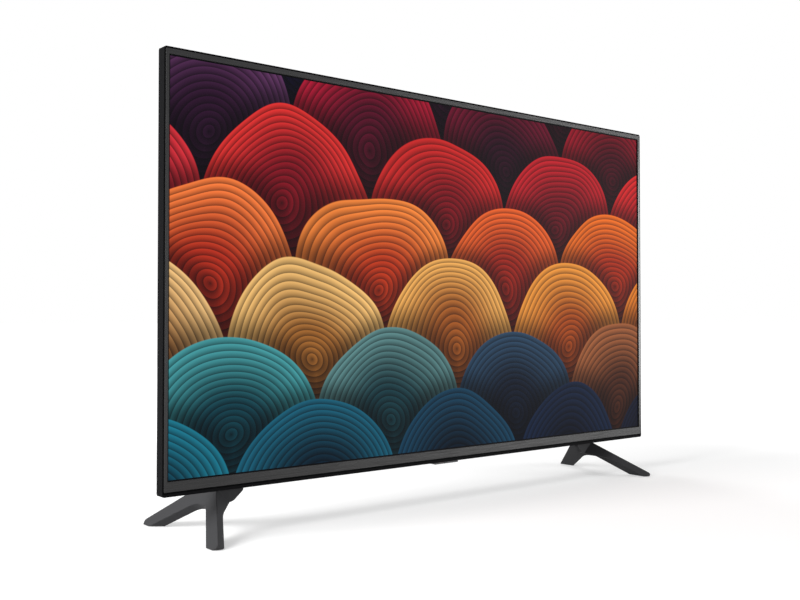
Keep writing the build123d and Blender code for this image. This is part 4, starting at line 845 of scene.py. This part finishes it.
@dataclass(frozen=True)
class Picture(Finish):
    """The lit picture: overlapping rows of finely ribbed fans, each casting a soft shadow."""

    half_width: float = 0.4704
    low: float = 0.0826
    high: float = 0.6116
    spacing: float = 0.27
    radius: float = 0.137
    pitch: float = 0.0092
    sway: float = 0.075
    sway_scale: float = 3.1
    sway_up_scale: float = 4.3
    dimmest: float = 0.68
    light_swing: float = 0.62
    light_scale: float = 5.0
    ground: tuple[Colour, Colour] = (shade(14, 16, 50), shade(44, 8, 26))
    edge: float = 0.0008
    shadow_reach: float = 0.045
    shadow_depth: float = 0.7
    heart_edge: tuple[float, float] = (0.3, 1.05)
    rib_low: float = 0.24
    rib_height: float = 0.92
    rib_curve: float = 0.8
    groove_depth: float = 0.38
    groove_edge: tuple[float, float] = (0.92, 1.0)
    glass: Colour = (0.004, 0.004, 0.005)
    roughness: float = 0.42
    gloss: float = 0.02
    etching_scale: float = 2600.0
    etching_unevenness: float = 0.08
    etching_depth: float = 0.000004
    rows: tuple[FanRow, ...] = (
        FanRow(0.630, 0.00,
               (shade(4, 18, 40), shade(24, 8, 46), shade(60, 4, 22), shade(12, 4, 22)),
               (shade(18, 52, 92), shade(76, 22, 84), shade(138, 14, 40), shade(44, 8, 36))),
        FanRow(0.530, 0.12,
               (shade(6, 14, 42), shade(84, 6, 34), shade(30, 4, 24), shade(84, 4, 20)),
               (shade(28, 58, 104), shade(176, 20, 50), shade(92, 10, 40), shade(178, 16, 34))),
        FanRow(0.430, -0.02,
               (shade(110, 14, 40), shade(140, 14, 22), shade(96, 8, 26), shade(130, 12, 24)),
               (shade(212, 46, 56), shade(226, 48, 36), shade(188, 26, 40), shade(214, 34, 36))),
        FanRow(0.330, 0.13,
               (shade(172, 40, 26), shade(186, 54, 20), shade(150, 28, 16), shade(178, 48, 8)),
               (shade(242, 116, 58), shade(248, 140, 60), shade(236, 92, 34),
                shade(246, 122, 28))),
        FanRow(0.230, 0.01,
               (shade(150, 92, 44), shade(158, 100, 40), shade(178, 80, 20), shade(160, 60, 10)),
               (shade(246, 198, 130), shade(242, 190, 110), shade(250, 168, 70),
                shade(244, 136, 36))),
        FanRow(0.130, 0.15,
               (shade(4, 58, 72), shade(20, 62, 70), shade(8, 16, 36), shade(84, 40, 10)),
               (shade(44, 156, 164), shade(96, 142, 140), shade(34, 62, 92), shade(190, 106, 36))),
        FanRow(0.030, 0.02,
               (shade(4, 40, 58), shade(4, 28, 44), shade(4, 8, 22), shade(4, 5, 14)),
               (shade(24, 116, 138), shade(20, 86, 112), shade(16, 38, 68), shade(16, 22, 44))),
    )

    def build(self, graph: Graph) -> None:
        """Lays the picture's nodes, from the farthest row to the nearest.

        Args:
            graph: The empty graph.
        """
        across, _, up = graph.axes()
        sway_across = across + graph.noise(self.sway_scale, 1.0).swing(self.sway)
        sway_up = up + graph.noise(self.sway_up_scale, 1.0).swing(self.sway)
        light = self.dimmest + graph.noise(self.light_scale) * self.light_swing
        colour = graph.ramp(across + 0.5, tuple(enumerate(self.ground)))
        for row in self.rows:
            colour = self._laid(graph, colour, row, sway_across, sway_up, light)
        inside = (self.half_width - abs(across)).above(0.0) * (up - self.low).above(0.0)
        inside = inside * (self.high - up).above(0.0)
        etching = graph.noise(self.etching_scale)
        graph.surface({"Base Color": self.glass,
                       "Roughness": self.roughness + etching * self.etching_unevenness,
                       "Specular IOR Level": self.gloss,
                       "Emission Color": graph.mix(inside, BLACK, colour),
                       "Emission Strength": 1.0,
                       "Normal": graph.bump(etching, self.etching_depth)})

    def _laid(self, graph: Graph, under: bpy.types.NodeSocket, row: FanRow, across: Value,
              up: Value, light: Value) -> bpy.types.NodeSocket:
        """Lays one row of fans over what is under it.

        Args:
            graph: The picture's graph.
            under: The colour so far.
            row: The row of fans.
            across: The swayed place across the picture.
            up: The swayed height.
            light: The soft light over the whole picture.

        Returns:
            The colour with the row on it.
        """
        turn = (across - row.start) / self.spacing + 0.5
        beside = (turn.cycle() - 0.5) * self.spacing
        middle = across - beside
        reach = (beside ** 2 + (up - row.up) ** 2) ** 0.5
        inside = 1 - reach.rise(self.radius - self.edge, self.radius + self.edge)
        near = 1 - reach.rise(self.radius, self.radius + self.shadow_reach)
        shadow = 1 - near * self.shadow_depth
        rib = (reach / self.pitch).cycle()
        groove = rib.rise(*self.groove_edge) * self.groove_depth
        relief = self.rib_low + self.rib_height * rib ** self.rib_curve - groove
        place = middle + 0.5
        steps = [number / (len(row.rims) - 1) for number in range(len(row.rims))]
        own = graph.mix((reach / self.radius).rise(*self.heart_edge),
                        graph.ramp(place, tuple(zip(steps, row.hearts))),
                        graph.ramp(place, tuple(zip(steps, row.rims))))
        return graph.mix(inside, graph.dim(under, shadow), graph.dim(own, relief * light))


@dataclass(frozen=True)
class StudioPaper(Finish):
    """Pale studio paper, which keeps the set's shadow near it and shows white farther off."""

    colour: Colour = (0.70, 0.70, 0.70)
    lift: float = 0.42
    near: float = 0.75
    far: float = 1.7
    back_stretch: float = 1.25
    fibre_scale: float = 220.0
    fibre_tone: float = 0.985

    def build(self, graph: Graph) -> None:
        """Lays the paper's nodes.

        Args:
            graph: The empty graph.
        """
        across, back, _ = graph.axes()
        away = (across ** 2 + (back * self.back_stretch) ** 2) ** 0.5
        lift = self.lift + (1 - self.lift) * away.rise(self.near, self.far)
        tint = graph.mix(graph.noise(self.fibre_scale, 3.0), toned(self.colour, self.fibre_tone),
                         self.colour)
        paper = graph.node("ShaderNodeBsdfDiffuse", None, {"Color": tint})
        glow = graph.node("ShaderNodeEmission", None,
                          {"Color": WHITE, "Strength": graph.backdrop_rays() * lift})
        both = graph.node("ShaderNodeAddShader", None,
                          {0: paper.outputs[0], 1: glow.outputs[0]})
        graph.node("ShaderNodeOutputMaterial", None, {"Surface": both.outputs[0]})


FINISHES: dict[str, Finish] = {finish.name: finish for finish in (
    HairlinePlastic("bezel_black", (0.0060, 0.0060, 0.0066), 0.25, 0.38, half_width=0.4720,
                    middle=0.3471, half_height=0.2662),
    MouldedPlastic("frame_black", (0.0045, 0.0045, 0.0050), 0.6, 0.02, Grain.SATIN, 0.12),
    MouldedPlastic("cover_black", (0.018, 0.018, 0.0192), 0.66, 0.16, Grain.SPARK, 0.14),
    MouldedPlastic("foot_black", (0.044, 0.044, 0.0462), 0.5, 0.03, Grain.FINE, 0.14),
    MouldedPlastic("chip_black", (0.012, 0.012, 0.013), 0.5, 0.4, Grain.FINE, 0.2),
    MouldedPlastic("connector_black", (0.011, 0.011, 0.012), 0.45, 0.4, Grain.SATIN, 0.15),
    MouldedPlastic("plug_white", (0.74, 0.72, 0.66), 0.42, 0.45, Grain.SATIN, 0.06),
    MouldedPlastic("speaker_black", (0.014, 0.014, 0.015), 0.62, 0.35, Grain.SPARK, 0.15),
    MouldedPlastic("button_black", (0.016, 0.016, 0.0175), 0.25, 0.5, Grain.POLISHED, 0.1, 0.2),
    MouldedPlastic("window_dark", (0.02, 0.003, 0.004), 0.12, 0.6, Grain.POLISHED, 0.1, 0.6),
    MouldedPlastic("led_yellow", (0.75, 0.6, 0.12), 0.35, 0.5, Grain.POLISHED, 0.1),
    Rubber("rubber_black", (0.010, 0.010, 0.0105), 0.85),
    Rubber("cable_black", (0.012, 0.012, 0.0125), 0.55),
    SheetSteel("tray_steel", (0.52, 0.53, 0.54), 0.42, 0.22),
    SheetSteel("screw_steel", (0.58, 0.58, 0.57), 0.32, 0.12),
    SheetSteel("screw_black", (0.035, 0.035, 0.038), 0.4, 0.15, 0.85),
    DrawnMetal("sink_aluminium", (0.68, 0.69, 0.7), 0.34),
    DrawnMetal("port_metal", (0.66, 0.64, 0.6), 0.26, (30.0, 1.0, 1.0)),
    CircuitBoard("board_green"),
    Ribbon("flex_amber", (0.5, 0.24, 0.05), (0.62, 0.36, 0.12)),
    Ribbon("ribbon_white", (0.72, 0.74, 0.78), (0.5, 0.53, 0.6)),
    Ribbon("winding_yellow", (0.72, 0.55, 0.1), (0.6, 0.42, 0.05), 0.0022),
    PressedSheet("film_white", (0.84, 0.84, 0.86), 0.35),
    PressedSheet("reflector_white", (0.9, 0.9, 0.9), 0.7),
    PressedSheet("strip_white", (0.82, 0.82, 0.81), 0.45),
    PressedSheet("lens_clear", (0.88, 0.92, 0.95), 0.12, 0.4),
    Sleeve("capacitor_sleeve", (0.02, 0.026, 0.06)),
    PulpPaper("cone_paper", (0.022, 0.022, 0.024)),
    Picture("screen_glass"),
)}
DUST_MESH = WovenMesh("dust_mesh", (0.012, 0.012, 0.013), 0.0012)
GRILLE_CLOTH = WovenMesh("grille_cloth", (0.02, 0.02, 0.021), 0.0009)
# The housing's base colour is paler than the frame's: painted sheen that stands in for a lit
# reflection on its face, which sits in the frame's shadow.
HOUSING_GLOSS_PAINTED_SHEEN = MouldedPlastic("housing_gloss_painted_sheen", (0.05, 0.05, 0.053), 0.2, 0.5,
                               Grain.POLISHED, 0.06)


# The bench on which new pieces are modelled

class Bench:
    """Models a piece with Blender's own tools, as by hand."""

    @staticmethod
    def clear() -> None:
        """Leaves object mode and deselects everything."""
        if bpy.context.object and bpy.context.object.mode != "OBJECT":
            bpy.ops.object.mode_set(mode="OBJECT")
        bpy.ops.object.select_all(action="DESELECT")

    @staticmethod
    def begin(name: str, add: Callable[..., set[str]], **sizes: object) -> bpy.types.Object:
        """Adds a primitive at its size and place.

        Args:
            name: The piece's name.
            add: The operator that adds the primitive.
            sizes: The operator's own sizes and place.

        Returns:
            The new object.
        """
        Bench.clear()
        add(**sizes)
        piece = bpy.context.object
        piece.name = piece.data.name = name
        return piece

    @staticmethod
    def strip(name: str, width: float, height: float, thickness: float, middle: Point,
              turn: Point = FLAT, cuts: int = 7, hem: float = 0.0015) -> bpy.types.Object:
        """Models a strip of woven mesh with a folded hem all round.

        Args:
            name: The piece's name.
            width: Its width.
            height: Its height, or its length where it lies flat.
            thickness: How thick the weave is.
            middle: The strip's middle.
            turn: How it is turned from lying flat.
            cuts: How many lines divide it each way.
            hem: How wide its hem is.

        Returns:
            The strip.
        """
        piece = Bench.begin(name, bpy.ops.mesh.primitive_plane_add, size=1.0, location=middle,
                            rotation=turn)
        piece.scale = (width, height, 1)
        bpy.ops.object.transform_apply(location=True, rotation=True, scale=True)
        bpy.ops.object.mode_set(mode="EDIT")
        bpy.ops.mesh.select_mode(type="FACE")
        bpy.ops.mesh.select_all(action="SELECT")
        bpy.ops.mesh.subdivide(number_cuts=cuts)
        bpy.ops.mesh.inset(thickness=hem, use_boundary=True, use_outset=False)
        bpy.ops.object.mode_set(mode="OBJECT")
        wall = piece.modifiers.new("weave", "SOLIDIFY")
        wall.thickness = thickness
        wall.offset = 0
        bpy.ops.object.modifier_apply(modifier=wall.name)
        return Bench.settle(piece)

    @staticmethod
    def settle(piece: bpy.types.Object) -> bpy.types.Object:
        """Applies the piece's place to its mesh, and rounds its shading.

        Args:
            piece: The piece that is finished.

        Returns:
            The same piece.
        """
        Bench.clear()
        piece.select_set(True)
        bpy.context.view_layer.objects.active = piece
        bpy.ops.object.transform_apply(location=True, rotation=True, scale=True)
        bpy.ops.object.mode_set(mode="EDIT")
        bpy.ops.mesh.select_all(action="SELECT")
        bpy.ops.mesh.remove_doubles(threshold=WELD_DISTANCE)
        bpy.ops.mesh.normals_make_consistent(inside=False)
        bpy.ops.object.mode_set(mode="OBJECT")
        bpy.ops.object.shade_smooth_by_angle(angle=ROUND_ANGLE)
        return piece

    @staticmethod
    def copies(piece: bpy.types.Object, places: Iterable[Point]) -> bpy.types.Object:
        """Copies a piece to more places and joins all into one.

        Args:
            piece: The first piece.
            places: How far each copy is moved.

        Returns:
            The joined piece.
        """
        every = [piece]
        for place in places:
            copy = piece.copy()
            copy.data = piece.data.copy()
            copy.location = piece.location + Vector(place)
            bpy.context.scene.collection.objects.link(copy)
            every.append(copy)
        Bench.clear()
        for each in every:
            each.select_set(True)
        bpy.context.view_layer.objects.active = piece
        bpy.ops.object.join()
        return piece


# Sub-assemblies

@dataclass
class Assembly:
    """A group of the set's nodes with their finishes and their own new pieces."""

    members: ClassVar[tuple[str, ...]] = ()
    nodes: dict[str, bpy.types.Object]

    def make(self) -> None:
        """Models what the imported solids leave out. Most groups have nothing to add."""

    def build(self) -> None:
        """Dresses every node of the group and makes its new pieces."""
        for name in self.members:
            node = self.nodes[name]
            for slot in node.material_slots:
                slot.material = FINISHES[slot.material.name.split(".")[0]].material()
            log.info("%s dressed", name)
        self.make()

    def fit(self, piece: bpy.types.Object, finish: Finish, slot: str,
            body: str = TELEVISION) -> None:
        """Gives a new piece its finish and the body that carries it.

        Args:
            piece: The new piece.
            finish: Its finish.
            slot: The slot that the finish belongs to. Not used.
            body: The body that it moves with.
        """
        piece.data.materials.clear()
        piece.data.materials.append(finish.material())
        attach(piece, body)
        log.info("%s made, %d faces", piece.name, len(piece.data.polygons))


@dataclass
class Screen(Assembly):
    """The picture cell, the frame round it and the boards along its lower edge."""

    members: ClassVar[tuple[str, ...]] = (
        "front_bezel", "mid_frame", "bezel_gasket", "lcd_cell", "source_boards", "source_flexes",
        "frame_screws")


@dataclass
class Backlight(Assembly):
    """The lit pan behind the cell."""

    members: ClassVar[tuple[str, ...]] = (
        "optical_films", "diffuser_plate", "diffuser_pegs", "reflector_sheet", "led_strips",
        "led_chips", "led_lenses", "back_tray")


@dataclass
class Back(Assembly):
    """The rear cover with its screws and wall mount, and the dust mesh behind its slots."""

    members: ClassVar[tuple[str, ...]] = (
        "rear_cover", "rear_cover_screws", "vesa_posts", "bracket_screws")
    mesh_thickness: float = 0.0003
    mesh_gap: float = 0.0002
    # Each row of slots: its mesh's width and height, and how high its middle lies
    high_row: tuple[float, float, float] = (0.362, 0.034, 0.5568)
    high_step: float = 0.043
    low_row: tuple[float, float, float] = (0.330, 0.034, 0.370)

    def make(self) -> None:
        """Models the dust mesh behind both rows of slots."""
        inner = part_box("rear_cover")[1][1] - COVER_WALL
        for name, row, rear in (("upper_dust_mesh", self.high_row, inner - self.high_step),
                                ("lower_dust_mesh", self.low_row, inner)):
            width, height, middle = row
            back = rear - self.mesh_gap - self.mesh_thickness
            piece = Bench.strip(name, width, height, self.mesh_thickness, (0, back, middle),
                                UPRIGHT)
            self.fit(piece, DUST_MESH, "speaker_black")


@dataclass
class Stand(Assembly):
    """The two feet, their brackets, screws and pads."""

    members: ClassVar[tuple[str, ...]] = (
        "left_foot", "right_foot", "foot_pads", "foot_screws", "stand_brackets")


@dataclass
class Electronics(Assembly):
    """The boards, what is soldered on them, the sockets and the cables."""

    members: ClassVar[tuple[str, ...]] = (
        "main_board", "power_board", "timing_board", "radio_board", "main_chips", "main_heat_sink",
        "hdmi_ports", "usb_ports", "lan_port", "antenna_input", "audio_sockets",
        "power_transformers", "power_capacitors", "power_heat_sinks", "ac_inlet", "board_plugs",
        "board_posts", "board_screws", "panel_ribbons", "power_cables", "key_cable",
        "speaker_cables")
    barrel_radius: float = 0.0048
    barrel_depth: float = 0.0065
    ring_radius: float = 0.00022
    ring_pitch: float = 0.0009
    ring_sides: int = 40
    ring_facets: int = 8
    ring_ease: float = 0.2
    rings: int = 7
    mouth_inset: float = 0.0006

    def make(self) -> None:
        """Rolls the thread on the aerial socket."""
        low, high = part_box("antenna_input")
        middle = (low[1] + self.barrel_depth, (low[2] + high[2]) / 2)
        outer = high[0] - self.mouth_inset
        piece = Bench.begin("aerial_thread", bpy.ops.mesh.primitive_torus_add,
                            major_radius=self.barrel_radius, minor_radius=self.ring_radius,
                            major_segments=self.ring_sides, minor_segments=self.ring_facets,
                            location=(outer, *middle), rotation=(0, math.pi / 2, 0))
        bpy.ops.object.mode_set(mode="EDIT")
        bpy.ops.mesh.select_all(action="SELECT")
        bpy.ops.mesh.vertices_smooth(factor=self.ring_ease)
        bpy.ops.object.mode_set(mode="OBJECT")
        piece = Bench.copies(piece, [(-number * self.ring_pitch, 0, 0)
                                     for number in range(1, self.rings)])
        self.fit(Bench.settle(piece), FINISHES["port_metal"], "port_metal")


@dataclass
class Speakers(Assembly):
    """The two loudspeaker boxes, their drivers, and the cloth behind the cover's slots."""

    members: ClassVar[tuple[str, ...]] = (
        "left_speaker_box", "right_speaker_box", "left_speaker_basket", "right_speaker_basket",
        "left_speaker_cone", "right_speaker_cone", "speaker_bushes")
    cloth_width: float = 0.042
    cloth_length: float = 0.028
    cloth_thickness: float = 0.0003
    cloth_gap: float = 0.0002

    def make(self) -> None:
        """Models the cloth that lies over the slots under each loudspeaker."""
        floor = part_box("rear_cover")[0][2] + COVER_WALL + self.cloth_gap
        for side in ("left", "right"):
            low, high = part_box(f"{side}_speaker_cone")
            middle = ((low[0] + high[0]) / 2, (low[1] + high[1]) / 2,
                      floor + self.cloth_thickness / 2)
            piece = Bench.strip(f"{side}_grille_cloth", self.cloth_width, self.cloth_length,
                                self.cloth_thickness, middle)
            self.fit(piece, GRILLE_CLOTH, "speaker_black")


@dataclass
class ControlModule(Assembly):
    """The small housing under the middle of the frame, with its window and power button."""

    members: ClassVar[tuple[str, ...]] = (
        "sensor_housing", "sensor_window", "power_button", "key_board", "ir_receiver",
        "key_switch", "switch_plunger")

    def make(self) -> None:
        """Gives the housing its glossier face, which is lighter than the frame above it: its paler
        base colour is painted sheen that lifts the face out of the frame's shadow.
        """
        for slot in self.nodes["sensor_housing"].material_slots:
            slot.material = HOUSING_GLOSS_PAINTED_SHEEN.material()


# Studio

@dataclass(frozen=True)
class Lamp:
    """One soft lamp: where it stands, what it lights, its size and its power."""

    name: str
    place: Point
    aim: Point
    width: float
    height: float
    power: float


@dataclass
class Studio:
    """The camera, the floor, the lamps and the light of the room."""

    camera_place: Point = (-1.0246, -1.1685, 0.288)
    camera_turn: Point = (math.radians(91.184), 0.0, math.radians(-39.53))
    lens: float = 44.149
    sensor_width: float = 36.0
    shift: tuple[float, float] = (-0.000275, -0.0071)
    nearest: float = 0.01
    floor_size: float = 60.0
    room_light: float = 0.32
    lamps: tuple[Lamp, ...] = field(default_factory=lambda: (
        Lamp("left_lamp", (-3.3, 0.1, 1.5), (0, 0, 0.3), 1.6, 1.6, 164.0),
        Lamp("front_lamp", (0.6, -3.2, 2.9), (0, 0, 0.3), 1.8, 1.4, 4.0),
        Lamp("right_lamp", (2.6, -2.5, 0.50), (0.2, 0, 0.2), 1.8, 1.0, 80.0),
        Lamp("back_lamp", (0.8, 3.2, 2.4), (0, 0, 0.3), 1.8, 1.4, 40.0),
    ))

    def build(self) -> None:
        """Sets the studio up."""
        bpy.context.scene.view_settings.view_transform = "Standard"
        self._camera()
        self._room()
        self._floor()
        for lamp in self.lamps:
            self._lamp(lamp)

    def _camera(self) -> None:
        """Places the camera where the photograph was taken from."""
        data = bpy.data.cameras.new("camera")
        data.lens = self.lens
        data.sensor_width = self.sensor_width
        data.shift_x, data.shift_y = self.shift
        data.clip_start = self.nearest
        camera = bpy.data.objects.new("camera", data)
        camera.location = self.camera_place
        camera.rotation_euler = Euler(self.camera_turn)
        bpy.context.scene.collection.objects.link(camera)
        bpy.context.scene.camera = camera
        log.info("camera placed")

    def _room(self) -> None:
        """Fills the room with even light, and shows it white to the camera and in gloss."""
        world = bpy.data.worlds.new("studio")
        bpy.context.scene.world = world
        world.use_nodes = True
        graph = Graph(world.node_tree)
        seen = graph.backdrop_rays()
        glow = graph.node("ShaderNodeBackground", None,
                          {"Color": WHITE,
                           "Strength": self.room_light + (1 - self.room_light) * seen})
        graph.node("ShaderNodeOutputWorld", None, {"Surface": glow.outputs[0]})

    def _floor(self) -> None:
        """Lays the paper floor."""
        floor = Bench.begin("studio_floor", bpy.ops.mesh.primitive_plane_add,
                            size=self.floor_size, location=(0, 0, 0))
        floor.data.materials.append(StudioPaper("studio_paper").material())

    @staticmethod
    def _lamp(lamp: Lamp) -> None:
        """Hangs one soft lamp.

        Args:
            lamp: The lamp's own values.
        """
        data = bpy.data.lights.new(lamp.name, "AREA")
        data.shape = "RECTANGLE"
        data.size, data.size_y = lamp.width, lamp.height
        data.energy = lamp.power
        light = bpy.data.objects.new(lamp.name, data)
        light.location = lamp.place
        toward = Vector(lamp.aim) - Vector(lamp.place)
        light.rotation_euler = toward.to_track_quat("-Z", "Y").to_euler()
        bpy.context.scene.collection.objects.link(light)
        log.info("%s hung", lamp.name)


def main() -> None:
    """Dresses every sub-assembly and sets the studio up."""
    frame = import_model()
    Bench.clear()
    for kind in (Screen, Backlight, Back, Stand, Electronics, Speakers, ControlModule):
        kind(frame["nodes"]).build()
    Studio().build()


if __name__ == "__main__":
    main()
